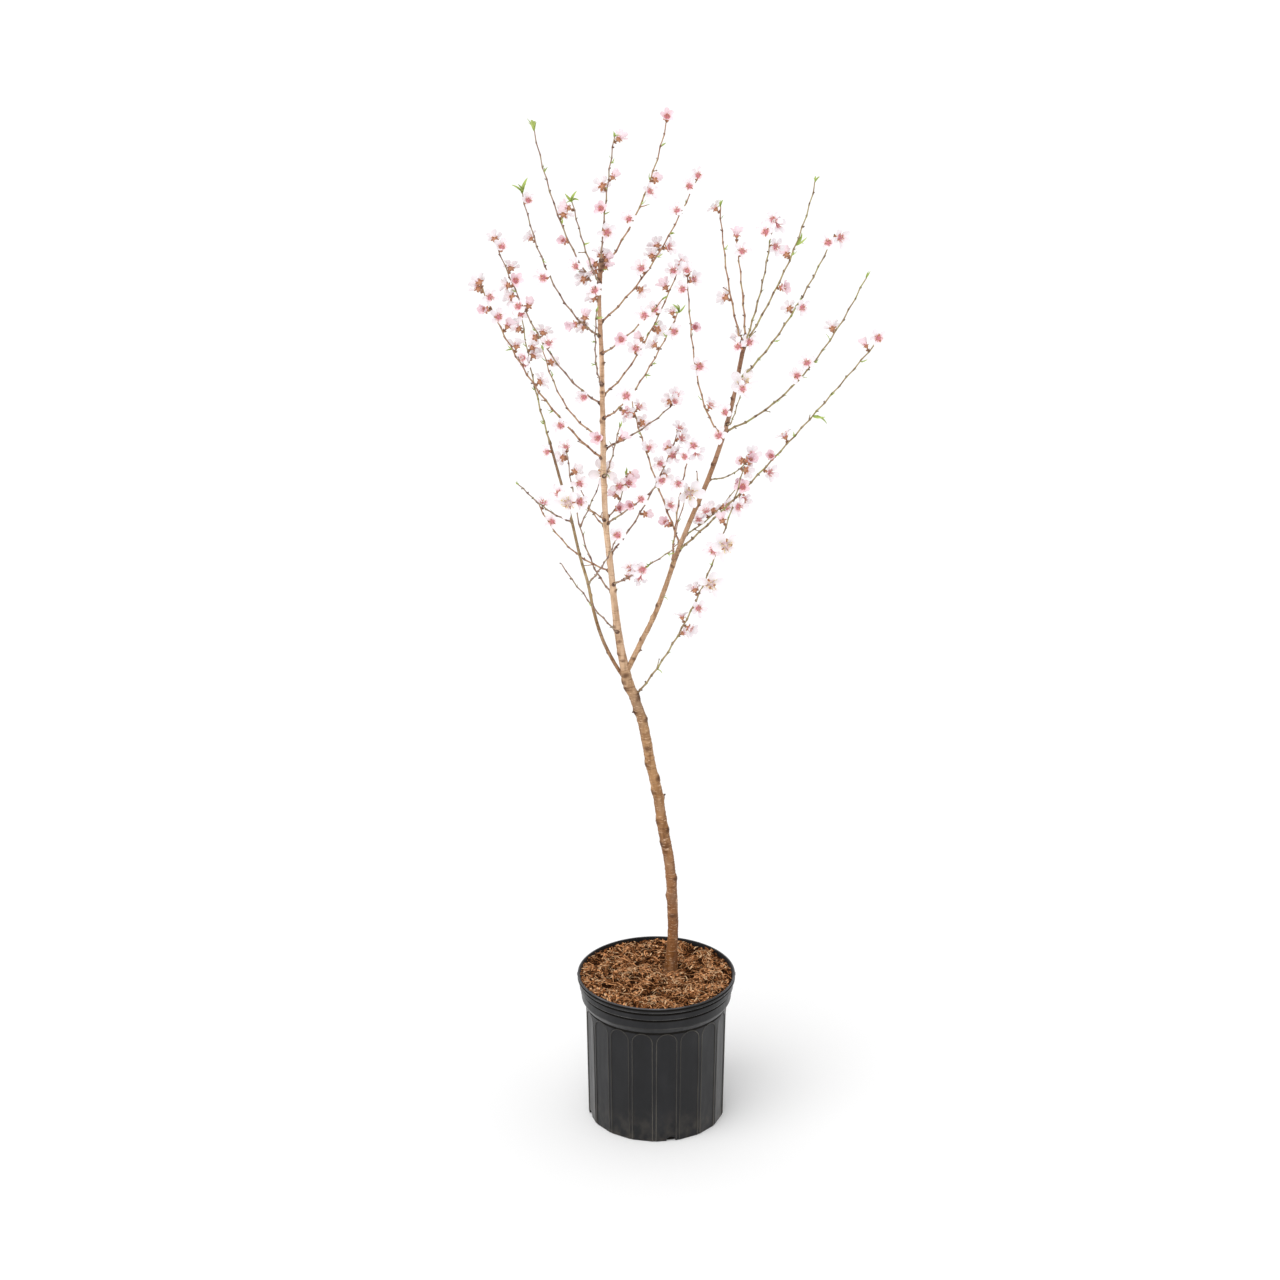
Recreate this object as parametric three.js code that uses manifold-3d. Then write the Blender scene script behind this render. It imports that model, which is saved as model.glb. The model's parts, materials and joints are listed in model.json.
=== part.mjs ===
// A dwarf peach tree in its black nursery pot, early in spring: bare twigs with pink blossom.
// Millimetres, +Z up. The origin is the middle of the pot's underside; +X is the right bough's side
// and -Y is the front.
import * as THREE from 'three';
import Module from 'manifold-3d';
import { mergeVertices } from 'three/addons/utils/BufferGeometryUtils.js';

const wasm = await Module();
wasm.setup();

// ---- driving dimensions ----------------------------------------------------------------------------
const CLEAR = 0.3; // gap that pieces keep to each other

const RIM_RADIUS = 85.5; // the pot over its rolled rim
const POT_HEIGHT = 168;
const FOOT_RADIUS = 74.2;
const WALL_TOP_RADIUS = 76.5; // below the bands
const WALL_TOP = 133;
const FLOOR = 3;
const FLUTES = 18;
const FLUTE_WIDTH = 22;
const FLUTE_TOP = 132.3;
const FLUTE_SINK = 0.35; // the flutes' depth at their long edges
const FIRST_FLUTE = 8.3; // degrees right of the front
const DRAIN_NOTCHES = 4;
const DRAIN_WIDTH = 10;
const DRAIN_HEIGHT = 5;
const FIRST_DRAIN = 12.5;

const SOIL_TOP = 161.5; // at the rim; the fill is 1.5 higher in the middle
const SOIL_CROWN = 1.5;
const TRUNK_SEAT = 162; // the flat that the trunk's cut foot stands on
const SEAT_RADIUS = 10;

const SHOOT_RADIUS = 1.5; // a shoot where it leaves its limb
const SHOOT_TIP_RADIUS = 0.8;
const BLOSSOM_RADIUS = 8;
const OPEN_BLOSSOM_RADIUS = 12.5;
const LEAF_LENGTH = 11;
const LONG_LEAF_LENGTH = 20;
const ROOT_SUNK = 1.2; // how far back inside its stem a blossom or leaf starts

// ---- colours and finishes --------------------------------------------------------------------------
const finish = (color, roughness) => new THREE.MeshStandardMaterial({ color, roughness, metalness: 0 });
const BLACK_PLASTIC = finish(0x2c2c2f, 0.5);
const BARK_MIX = finish(0x7a5236, 0.95);
const TRUNK_BARK = finish(0xa67a54, 0.8);
const BOUGH_BARK = finish(0xbd9068, 0.75);
const TWIG_AND_BLOSSOM = finish(0xe0a0a6, 0.7);

// ---- solids ----------------------------------------------------------------------------------------
/** A manifold solid of a closed three.js geometry. */
function solid(geometry) {
  const bare = geometry.index ? geometry : geometry.clone();
  bare.deleteAttribute('normal');
  bare.deleteAttribute('uv');
  const merged = mergeVertices(bare);
  const corners = merged.index.array;
  const faces = [];
  for (let i = 0; i < corners.length; i += 3) {
    const [a, b, c] = corners.slice(i, i + 3);
    if (a !== b && b !== c && c !== a) faces.push(a, b, c);
  }
  const vertProperties = new Float32Array(merged.getAttribute('position').array);
  return new wasm.Manifold(new wasm.Mesh({ numProp: 3, vertProperties, triVerts: new Uint32Array(faces) }));
}

const joined = (pieces) => pieces.reduce((whole, piece) => whole.add(piece));

/** The largest of the bodies that a cut leaves. */
function largestBody(whole) {
  return whole.decompose().reduce((best, body) => (body.volume() > best.volume() ? body : best));
}

function node(name, body, material) {
  const { vertProperties, triVerts } = body.getMesh();
  const geometry = new THREE.BufferGeometry();
  geometry.setAttribute('position', new THREE.BufferAttribute(vertProperties, 3));
  geometry.setIndex(new THREE.BufferAttribute(triVerts, 1));
  geometry.computeVertexNormals();
  const mesh = new THREE.Mesh(geometry, material);
  mesh.name = name;
  return mesh;
}

/** A repeatable stream of numbers from 0 to 1. */
function dice(seed) {
  let state = seed * 7919 + 17;
  return () => {
    state = (state * 16807) % 2147483647;
    return state / 2147483647;
  };
}

// ---- the pot and its fill ----------------------------------------------------------------------------
const AROUND = 36; // facets round the pot, two to a flute
const points = (rows) => rows.map(([r, z]) => new THREE.Vector2(r, z));

/** A body turned about Z from [radius, height] rows; it starts facing -Y. */
const turned = (rows, facets) => new THREE.LatheGeometry(points(rows), facets).rotateX(Math.PI / 2);

/** An outline (x across, y up) pushed outwards from `from` to `to`, `degrees` right of the front. */
function radialPrism(outline, from, to, degrees, lean = 0) {
  const geometry = new THREE.ExtrudeGeometry(outline, { depth: to - from, bevelEnabled: false, curveSegments: 3 });
  geometry.translate(0, 0, from);
  geometry.rotateX(Math.PI / 2 + lean);
  geometry.rotateZ(THREE.MathUtils.degToRad(degrees));
  return solid(geometry);
}

/** A round-headed outline, as of a flute or a drain notch, standing on y = bottom. */
function archOutline(width, bottom, top) {
  const half = width / 2;
  const spring = Math.max(top - half, bottom + 1);
  const shape = new THREE.Shape();
  shape.moveTo(-half, bottom);
  shape.lineTo(half, bottom);
  shape.lineTo(half, spring);
  shape.absellipse(0, spring, half, top - spring, 0, Math.PI, false, 0);
  return shape;
}

function pot() {
  const outside = [
    [0, 0], [FOOT_RADIUS, 0], [WALL_TOP_RADIUS, WALL_TOP], [RIM_RADIUS - 5, 139.5],
    [RIM_RADIUS - 4.2, 141], [RIM_RADIUS - 4.2, 151], [RIM_RADIUS - 5.4, 152], [RIM_RADIUS - 2, 153.2],
    [RIM_RADIUS - 2, 160], [RIM_RADIUS - 3, 161], [RIM_RADIUS, 162.2], [RIM_RADIUS, POT_HEIGHT],
  ];
  const inside = [
    [RIM_RADIUS - 2.6, POT_HEIGHT], [RIM_RADIUS - 5.2, 159], [RIM_RADIUS - 8, 141],
    [WALL_TOP_RADIUS - 3, WALL_TOP], [FOOT_RADIUS - 3.2, FLOOR], [0, FLOOR],
  ];
  let shell = solid(turned([...outside, ...inside], AROUND));

  const flute = archOutline(FLUTE_WIDTH, -2, FLUTE_TOP);
  const halfPitch = Math.asin(FLUTE_WIDTH / 2 / FOOT_RADIUS);
  const flat = FOOT_RADIUS * Math.cos(halfPitch) - FLUTE_SINK;
  const lean = Math.atan((WALL_TOP_RADIUS - FOOT_RADIUS) / WALL_TOP);
  for (let i = 0; i < FLUTES; i++) {
    shell = shell.subtract(radialPrism(flute, flat, flat + 9, FIRST_FLUTE + (i * 360) / FLUTES, lean));
  }
  const drain = archOutline(DRAIN_WIDTH, -1, DRAIN_HEIGHT);
  for (let i = 0; i < DRAIN_NOTCHES; i++) {
    const degrees = FIRST_DRAIN + (i * 360) / DRAIN_NOTCHES;
    shell = shell.subtract(radialPrism(drain, FOOT_RADIUS - 3.6, FOOT_RADIUS + 9, degrees));
  }
  return { shell, inside };
}

/** The bark mix: a plug that fills the pot, with a lumpy crown and a flat seat under the trunk. */
function soil(inside, foot) {
  const roll = dice(5);
  const edge = RIM_RADIUS - 5.2 - 2 * CLEAR;
  const walls = [...inside.slice(2, -1)].reverse().map(([r, z]) => [r - 1.3 * CLEAR, Math.max(z, FLOOR + CLEAR)]);
  const rings = [1, 0.75, 0.5, 0.25];
  const crown = rings.map((part) => [edge * part, SOIL_TOP + SOIL_CROWN * (1 - part * part)]);
  const plug = turned([[0, FLOOR + CLEAR], ...walls, [edge - 0.6, 158.4], ...crown, [0, SOIL_TOP + SOIL_CROWN]], AROUND);
  plug.deleteAttribute('normal');
  plug.deleteAttribute('uv');
  const lumpy = mergeVertices(plug);
  const place = lumpy.getAttribute('position');
  for (let i = 0; i < place.count; i++) {
    const lump = (roll() - 0.5) * 2.2;
    const atRim = Math.hypot(place.getX(i), place.getY(i)) > edge - 1;
    if (place.getZ(i) > SOIL_TOP - 1 && !atRim) place.setZ(i, place.getZ(i) + lump);
  }
  const seat = new THREE.CylinderGeometry(SEAT_RADIUS, SEAT_RADIUS, 12, 14).rotateX(Math.PI / 2);
  const pad = seat.clone().translate(foot.x, foot.y, TRUNK_SEAT - CLEAR - 6);
  const above = seat.clone().translate(foot.x, foot.y, TRUNK_SEAT - CLEAR + 6);
  return solid(lumpy).add(solid(pad)).subtract(solid(above));
}

// ---- limbs -------------------------------------------------------------------------------------------
/** Two directions across a limb that runs along `tangent`: first to the right, then to the back. */
function across(tangent) {
  const right = new THREE.Vector3(1, 0, 0).addScaledVector(tangent, -tangent.x).normalize();
  return [right, new THREE.Vector3().crossVectors(tangent, right)];
}

/** A round bar of few sides that follows a curve, as thick as radiusAt(t), with flat ends. */
function bar(curve, radiusAt, sides, steps) {
  const geometry = new THREE.CylinderGeometry(1, 1, 1, sides, steps);
  const place = geometry.getAttribute('position');
  for (let i = 0; i < place.count; i++) {
    const t = Math.min(1, Math.max(0, place.getY(i) + 0.5));
    const [right, back] = across(curve.getTangent(t));
    const radius = radiusAt(t);
    const at = curve.getPoint(t);
    at.addScaledVector(right, place.getX(i) * radius).addScaledVector(back, -place.getZ(i) * radius);
    place.setXYZ(i, at.x, at.y, at.z);
  }
  return solid(geometry);
}

/** A limb through stations of [x, y, z, radius], from its foot to its tip. */
function limb(stations, sides, steps) {
  const curve = new THREE.CatmullRomCurve3(stations.map(([x, y, z]) => new THREE.Vector3(x, y, z)));
  const radiusAt = (t) => {
    const at = Math.min(t * (stations.length - 1), stations.length - 1.0001);
    const first = Math.floor(at);
    return THREE.MathUtils.lerp(stations[first][3], stations[first + 1][3], at - first);
  };
  const grown = (t) => radiusAt(t) + CLEAR / Math.cos(Math.PI / sides);
  return {
    curve,
    radiusAt,
    body: bar(curve, radiusAt, sides, steps),
    room: bar(curve, grown, sides, steps),
  };
}

/** How far along a limb (0 to 1) it passes a height. */
function passes(curve, height) {
  let low = 0;
  let high = 1;
  for (let i = 0; i < 24; i++) {
    const middle = (low + high) / 2;
    if (curve.getPoint(middle).z < height) low = middle;
    else high = middle;
  }
  return (low + high) / 2;
}

const TRUNK = limb([
  [15.8, 18.6, 158, 7.6], [16.7, 17.8, 178, 6.1], [18, 16.8, 212, 5.7], [17.2, 15.5, 245, 5.6],
  [14.5, 14, 287, 5.6], [6.5, 12, 338, 5.6], [1, 11, 376, 5.4], [-6.5, 9.2, 412, 5.3],
  [-14.5, 7.6, 458, 5.2], [-22, 6.5, 484, 5.2], [-30, 5.5, 506, 5.4], [-33.5, 5, 521, 5],
], 9, 26);
const LEADER = limb([
  [-33.6, 5, 521.5, 4.7], [-39.5, 4, 556, 4.1], [-44, 3.5, 594, 3.5], [-48, 2.7, 637, 3.1],
  [-52.5, 1.9, 680, 3], [-54.8, 0.7, 738, 2.9], [-55.5, -0.5, 800, 2.6], [-56.5, -2, 868, 2.3],
  [-58.5, -3.2, 926, 1.9], [-56.5, -4, 963, 2.3],
], 7, 18);
const RIGHT_BOUGH = limb([
  [-31.5, 5, 519, 3], [-16.7, 1.7, 553, 2.7], [-2.6, -2, 585, 2.6], [9.9, -6.2, 622, 2.5],
  [19.3, -9.7, 653, 2.5], [34.4, -14.7, 695.5, 2.4], [51.3, -20, 740, 2.4], [65.4, -25, 785, 2.3],
  [75.5, -30, 827, 2.1], [81, -34, 860, 2.1], [87, -38, 895, 2.3],
], 6, 18);
const LEFT_BOUGH = limb([
  [-31, 6, 506, 2.1], [-44.4, 8.2, 527, 1.9], [-57, 11.5, 553, 1.8], [-66, 15, 583, 1.7],
  [-72, 18.5, 613, 1.6], [-79.7, 21.8, 640, 1.5], [-89, 26.6, 681, 1.5], [-100.6, 31.8, 724, 1.4],
  [-110, 36.3, 759, 1.3],
], 5, 14);
const LIMBS = { trunk: TRUNK, leader: LEADER, right_bough: RIGHT_BOUGH, left_bough: LEFT_BOUGH };

const GROUND = new THREE.BoxGeometry(60, 60, 60).translate(16, 18, TRUNK_SEAT - 30);
TRUNK.body = TRUNK.body.subtract(solid(GROUND));
RIGHT_BOUGH.body = largestBody(RIGHT_BOUGH.body.subtract(TRUNK.room).subtract(LEADER.room));
LEFT_BOUGH.body = largestBody(LEFT_BOUGH.body.subtract(TRUNK.room));
LEADER.body = largestBody(LEADER.body.subtract(TRUNK.room));

// ---- blossom, leaves and knobs -------------------------------------------------------------------------
/**
 * Marks along a limb or shoot, such as '31r 36lb 55R': percent of its length, measured along it, then the
 * side, where l is left, r right, f in the middle and t on the tip. A capital is a larger one, and b turns
 * it to the back.
 */
function marks(text) {
  return [...text.matchAll(/(\d+)([lrft])(b?)/gi)].map(([, percent, side, back]) => ({
    at: Number(percent) / 100,
    side: side.toLowerCase(),
    large: side !== side.toLowerCase(),
    back: back === 'b',
  }));
}

/** The direction in which a mark stands out from its stem. */
function outwards(tangent, { side, back }, roll) {
  const [right, behind] = across(tangent);
  const sideways = { l: -1, r: 1, f: 0, t: 0 }[side] * (0.65 + 0.25 * roll());
  const lift = side === 't' ? 0.9 : 0.35 + 0.3 * roll();
  const facing = (back ? 0.45 : -0.6) - 0.25 * (roll() - 0.5);
  return right.multiplyScalar(sideways).addScaledVector(behind, facing).addScaledVector(tangent, lift).normalize();
}

/** Where a mark stands on its stem: the middle line's point, the direction and radius there, and a leaf's root. */
function spot(carrier, mark) {
  const t = carrier.curve.getUtoTmapping(mark.at);
  const point = carrier.curve.getPoint(t);
  const tangent = carrier.curve.getTangent(t);
  return { point, tangent, radius: carrier.radiusAt(t), root: point.clone().addScaledVector(tangent, -ROOT_SUNK) };
}

/** Turns a geometry that stands along +Z to stand along `direction` from `root`. */
function stood(geometry, root, direction) {
  geometry.applyQuaternion(new THREE.Quaternion().setFromUnitVectors(new THREE.Vector3(0, 0, 1), direction));
  return geometry.translate(root.x, root.y, root.z);
}

/** A five-petalled blossom: a three-sided stalk up to the calyx, then a dished star of petals. */
function blossom(radius) {
  const calyx = 3;
  const rim = 10;
  const ring = (count, height, reach) => Array.from({ length: count }, (_, i) => {
    const angle = (i * 2 * Math.PI) / count;
    return [reach(i) * Math.cos(angle), reach(i) * Math.sin(angle), height(i)];
  });
  const corners = [
    [0, 0, 0],
    ...ring(calyx, () => 0.5 * radius, () => 0.26 * radius),
    ...ring(rim, (i) => (i % 2 ? 0.78 : 0.95) * radius, (i) => (i % 2 ? 0.55 : 1) * radius),
    [0, 0, 0.66 * radius],
  ];
  const waist = (i) => 1 + (i % calyx);
  const petal = (i) => 1 + calyx + (i % rim);
  const below = (i) => Math.floor((i * calyx) / rim);
  const heart = corners.length - 1;
  const faces = [];
  for (let i = 0; i < calyx; i++) faces.push(0, waist(i + 1), waist(i));
  for (let i = 0; i < rim; i++) {
    faces.push(petal(i), petal(i + 1), heart, petal(i), waist(below(i)), petal(i + 1));
    if (below(i + 1) !== below(i)) faces.push(waist(below(i)), waist(below(i + 1)), petal(i + 1));
  }
  const geometry = new THREE.BufferGeometry();
  geometry.setAttribute('position', new THREE.Float32BufferAttribute(corners.flat(), 3));
  geometry.setIndex(faces);
  return geometry;
}

/** A young leaf, folded to a slim spindle along +Z. */
function leaf(length) {
  return new THREE.OctahedronGeometry(1).scale(length * 0.13, length * 0.06, length / 2).translate(0, 0, length / 2);
}

/** A piece as its solid, and a slightly larger one that tells whether it comes too near something. */
function fitted(make, size, root, direction) {
  return { body: solid(stood(make(size), root, direction)), room: solid(stood(make(size + 2 * CLEAR), root, direction)) };
}

function blossomPieces(carrier, text, roll) {
  return marks(text).map((mark) => {
    const { tangent, root } = spot(carrier, mark);
    const direction = outwards(tangent, mark, roll);
    return fitted(blossom, mark.large ? OPEN_BLOSSOM_RADIUS : BLOSSOM_RADIUS, root, direction);
  });
}

/** A small mark is one leaf and a large one two; a tuft on the tip has three that part sideways. */
function leafPieces(carrier, text, roll) {
  return marks(text).flatMap((mark) => {
    const length = mark.large ? LONG_LEAF_LENGTH : LEAF_LENGTH;
    const { tangent, root } = spot(carrier, mark);
    const sideSpread = mark.large ? [-0.3, 0.3] : [0];
    const spread = mark.side === 't' ? [-0.5, 0.05, 0.55] : sideSpread;
    return spread.map((part) => {
      const direction = outwards(tangent, mark, roll);
      const [right, behind] = across(direction);
      direction.addScaledVector(right, part).addScaledVector(behind, part * (roll() - 0.5)).normalize();
      return fitted(leaf, length * (0.8 + 0.2 * roll()), root, direction);
    });
  });
}

const knob = (size) => new THREE.OctahedronGeometry(size);

/** Buds and old leaf scars swell a limb a little at its marks. */
function knobPieces(carrier, text, size) {
  return marks(text).map((mark) => {
    const { point, tangent, radius } = spot(carrier, mark);
    const direction = outwards(tangent, mark, () => 0.5);
    return fitted(knob, size, point.addScaledVector(direction, radius - 0.2 * size), direction);
  });
}

// ---- shoots --------------------------------------------------------------------------------------------
// A shoot leaves `on` at `height`, ends `tip` [x, y, z] away from there, and its middle bows by a quarter
// of `bow` [x, z]. Its blossoms and leaf tufts are marks along it.
const SHOOTS = {
  trunk_shoot: { on: 'trunk', height: 489, tip: [109, -90, 285], bow: [32, -73],
    blossoms: '31rb 36r 37lb 44r 49lb 50rb 55R 68l 71R 78lb 86r', leaves: '15r 62l' },
  leader_left_1: { on: 'leader', height: 564, tip: [-57, -86, 108], bow: [40, -70] },
  leader_left_2: { on: 'leader', height: 607, tip: [-49, 92, 124], bow: [-21, -98],
    blossoms: '86rb 96lb 100t', twig: { at: 0.52, tip: [24, -14, 63], bow: [8, 10], blossoms: '100T' } },
  leader_left_3: { on: 'leader', height: 632, tip: [-77, 72, 48], bow: [-18, -48], blossoms: '77r 95r' },
  leader_left_4: { on: 'leader', height: 681, tip: [-27, 43, 27], bow: [-6, -18], blossoms: '100t' },
  leader_left_5: { on: 'leader', height: 688, tip: [-30, -36, 37], bow: [8, -8], blossoms: '78lb 90r 100L' },
  leader_left_6: { on: 'leader', height: 755, tip: [-117, -75, 202], bow: [-23, -65],
    blossoms: '26l 67rb 78rb 85r 90l 95r 98lb 100tb', leaves: '34l 69l' },
  leader_left_7: { on: 'leader', height: 778, tip: [-63, 95, 64], bow: [-24, -59],
    blossoms: '88rb', leaves: '77r 100t' },
  leader_left_8: { on: 'leader', height: 814, tip: [-107, 42, 156], bow: [-8, -110],
    blossoms: '9l 41r 47rb 48lb 63rb 65l 71lb 77lb 78r 84rb 96r 100tb', leaves: '52l 74l' },
  leader_left_9: { on: 'leader', height: 886, tip: [-74, -78, 167], bow: [-28, -88],
    blossoms: '9lb 14rb 16l 51l 72lb 95r', leaves: '60r 100T' },
  leader_left_10: { on: 'leader', height: 932, tip: [-65, 52, 152], bow: [-17, -63],
    blossoms: '10lb 18l 34l 48rb', leaves: '45r 76r 100T' },
  leader_left_11: { on: 'leader', height: 941, tip: [-25, -90, 107], bow: [0, -37],
    blossoms: '91lb', leaves: '55r 100T' },
  leader_front: { on: 'leader', height: 835, tip: [-4, -99, 106], bow: [-14, -53], leaves: '40l 68l 93r 100t' },
  leader_right_1: { on: 'leader', height: 617, tip: [62, -78, 68], bow: [-25, -24],
    blossoms: '21rb 41lb 42r 53l 60l', leaves: '66l 92r' },
  leader_right_2: { on: 'leader', height: 649, tip: [71, 105, 98], bow: [16, -27],
    blossoms: '38rb 68rb 75l 82r 85r 87lb 95r 100t' },
  leader_right_3: { on: 'leader', height: 684, tip: [56, -83, 79], bow: [54, 24], blossoms: '38l 53l 100t' },
  leader_right_4: { on: 'leader', height: 692, tip: [21, 27, 37], bow: [9, -40],
    blossoms: '28r 52lb 71l 78r 95rb', leaves: '100t' },
  leader_right_5: { on: 'leader', height: 737, tip: [17, -95, 84], bow: [-9, -60],
    blossoms: '79rb', leaves: '21r 100t' },
  leader_right_6: { on: 'leader', height: 765, tip: [73, 80, 27], bow: [47, 7], blossoms: '91r 97lb 100t' },
  leader_right_7: { on: 'leader', height: 799, tip: [75, -101, 141], bow: [-16, -92],
    blossoms: '20r 33l 73lb 88r 96lb', leaves: '53r 62r 83l 100T' },
  leader_right_8: { on: 'leader', height: 823, tip: [78, 96, 107], bow: [-2, -78],
    blossoms: '39l 48lb 58rb 68l 84lb 95l 99r 100t', leaves: '52l 61r 100t' },
  leader_right_9: { on: 'leader', height: 868, tip: [61, -92, 83], bow: [-19, -40],
    blossoms: '41l 79l', leaves: '66l 100t' },
  leader_right_10: { on: 'leader', height: 900, tip: [97, 71, 129], bow: [7, -65],
    blossoms: '30rb 39l 48lb 55lb 57r 78l 94l 100t', leaves: '51r 66r' },
  leader_right_11: { on: 'leader', height: 954, tip: [66, 73, 134], bow: [24, -44],
    blossoms: '35l 55r 63rb 100t', leaves: '48r 64l 85r 100t' },
  leader_top: { on: 'leader', height: 963, tip: [14, -55, 140], bow: [-8, -12],
    blossoms: '26r 43l 58lb 66rb 96rb', leaves: '24l 40r 60l 80r 100t' },
  left_bough_right_1: { on: 'left_bough', height: 612, tip: [31, -92, 88], bow: [16, 0], blossoms: '100t' },
  left_bough_left_1: { on: 'left_bough', height: 678, tip: [-51, -103, 77], bow: [1, -24], leaves: '100t' },
  left_bough_tip: { on: 'left_bough', height: 759, tip: [-28, 16, 131], bow: [-16, 22],
    blossoms: '47rb 64l 67rb 69l 74rb 89lb 100t', leaves: '17l 44l 78l' },
  right_bough_left_1: { on: 'right_bough', height: 641, tip: [18, -102, 166], bow: [-14, 15],
    blossoms: '63R 70l 92l 96r 100t', leaves: '21l' },
  right_bough_left_2: { on: 'right_bough', height: 666, tip: [-50, 116, 118], bow: [-32, 62],
    blossoms: '13l 23r 61r 82rb 87l 91r', leaves: '74l 100t' },
  right_bough_left_3: { on: 'right_bough', height: 726, tip: [-7, -36, 34], bow: [0, -26] },
  right_bough_left_4: { on: 'right_bough', height: 790, tip: [-37, 46, 152], bow: [-22, -140],
    blossoms: '19r 45r 69r 92l 97r 100t', leaves: '26l' },
  right_bough_left_5: { on: 'right_bough', height: 881, tip: [-24, -5, 149], bow: [-16, 9],
    blossoms: '36lb 96lb', leaves: '71r 100T' },
  right_bough_back: { on: 'right_bough', height: 652, tip: [11, 29, 56], bow: [-28, -56], leaves: '100t' },
  right_bough_top: { on: 'right_bough', height: 895, tip: [-7, 88, 75], bow: [3, 8], blossoms: '84r 100t' },
  right_bough_right_1: { on: 'right_bough', height: 659, tip: [197, -107, 264], bow: [-40, -81],
    blossoms: '30r 33l 42r 47l 54lb 93lb 98l', leaves: '23l 48l 57l 66R 75l 89r' },
  right_bough_right_2: { on: 'right_bough', height: 677, tip: [55, 43, 38], bow: [10, -16],
    blossoms: '26l 42l 51lb 62r 100t' },
  right_bough_right_3: { on: 'right_bough', height: 740, tip: [42, 80, -5], bow: [19, -21],
    blossoms: '76rb 88r 95lb 100r' },
  right_bough_right_4: { on: 'right_bough', height: 793, tip: [145, 89, 136], bow: [19, -103],
    blossoms: '44l 51l 71lb', leaves: '29r 45r 54r 67l 100T' },
  right_bough_right_5: { on: 'right_bough', height: 802, tip: [12, -65, 56], bow: [-6, -52], blossoms: '100t' },
  right_bough_right_6: { on: 'right_bough', height: 848, tip: [90, -64, 167], bow: [2, -62],
    blossoms: '52lb 57r 95l 100r', leaves: '33r 61l' },
  right_bough_right_7: { on: 'right_bough', height: 886, tip: [72, 77, 148], bow: [40, 17],
    blossoms: '37r 55lb', leaves: '57r 63r 100T' },
  right_bough_right_8: { on: 'right_bough', height: 884, tip: [24, -72, 148], bow: [16, -2],
    blossoms: '82r 92l 98r 100t' },
};

/** A shoot's or side twig's curve from `start`. */
function bowed(start, { tip, bow }) {
  const end = new THREE.Vector3(...tip).add(start);
  const middle = new THREE.Vector3().addVectors(start, end).multiplyScalar(0.5);
  middle.x += bow[0] / 2;
  middle.z += bow[1] / 2;
  return new THREE.QuadraticBezierCurve3(start, middle, end);
}

const SHOOT_STEP = 26; // length of a shoot's straight stretches
function stem(curve, thickness) {
  const radiusAt = (t) => THREE.MathUtils.lerp(SHOOT_RADIUS, SHOOT_TIP_RADIUS, t) * thickness;
  return { curve, radiusAt, body: bar(curve, radiusAt, 3, Math.max(2, Math.round(curve.getLength() / SHOOT_STEP))) };
}

/** One mass for each row: its stem and side twig, cut clear of the limb that carries it. */
function growStems() {
  return Object.entries(SHOOTS).map(([name, row], index) => {
    const carrier = LIMBS[row.on];
    const at = passes(carrier.curve, row.height);
    const length = Math.hypot(...row.tip);
    const thickness = length > 100 ? 1 : 0.85;
    const main = stem(bowed(carrier.curve.getPoint(at), row), thickness);
    const stems = [main];
    if (row.twig) stems.push(stem(bowed(main.curve.getPointAt(row.twig.at), row.twig), 0.8));
    const whole = joined(stems.map((each) => each.body)).subtract(carrier.room);
    return { name, row, main, twig: stems[1], roll: dice(index + 1), pieces: [largestBody(whole)] };
  });
}

// ---- the whole plant -------------------------------------------------------------------------------------
const TRIMMINGS = {
  trunk: { knobs: '19f 25lb 31r 38fb 43l 47r 50l 57rb 60l 64r 69l 76fb 83r 86l', knobSize: 2.4 },
  leader: { knobs: '20r 27lb 38l 46rb 56r 62l 76r', knobSize: 1.6, blossoms: '58l 91lb 93l 99rb 100T', leaves: '20r 98r' },
  right_bough: { knobs: '7r 10l 17lb 21l 40lb 52r 83l', knobSize: 1.5,
    blossoms: '72l 79l 87R 97l 99lb 99r', leaves: '24r' },
  left_bough: { knobs: '', knobSize: 1, blossoms: '80l 97l', leaves: '34l' },
};

for (const holder of Object.values(LIMBS)) holder.pieces = [holder.body];
const masses = growStems();
const holders = [...Object.values(LIMBS), ...masses];

const boxOf = (body) => body.boundingBox();
const boxesMeet = (a, b) => [0, 1, 2].every((k) => a.min[k] < b.max[k] && b.min[k] < a.max[k]);

/** Adds a blossom or leaf to its holder, unless it would come too near any other holder's pieces. */
function fuse(holder, { body, room }) {
  const box = boxOf(room);
  const near = holders.filter((other) => other !== holder).flatMap((other) => other.pieces);
  const touches = (piece) => boxesMeet(box, boxOf(piece)) && !room.intersect(piece).isEmpty();
  if (!near.some(touches)) holder.pieces.push(body);
}

Object.entries(TRIMMINGS).forEach(([name, { knobs, knobSize, blossoms = '', leaves = '' }], index) => {
  const holder = LIMBS[name];
  const roll = dice(101 + index);
  for (const piece of knobPieces(holder, knobs, knobSize)) fuse(holder, piece);
  for (const piece of blossomPieces(holder, blossoms, roll)) fuse(holder, piece);
  for (const piece of leafPieces(holder, leaves, roll)) fuse(holder, piece);
});
for (const mass of masses) {
  const { row, main, twig, roll } = mass;
  for (const piece of blossomPieces(main, row.blossoms ?? '', roll)) fuse(mass, piece);
  if (twig) for (const piece of blossomPieces(twig, row.twig.blossoms, roll)) fuse(mass, piece);
  for (const piece of leafPieces(main, row.leaves ?? '', roll)) fuse(mass, piece);
}

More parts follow.
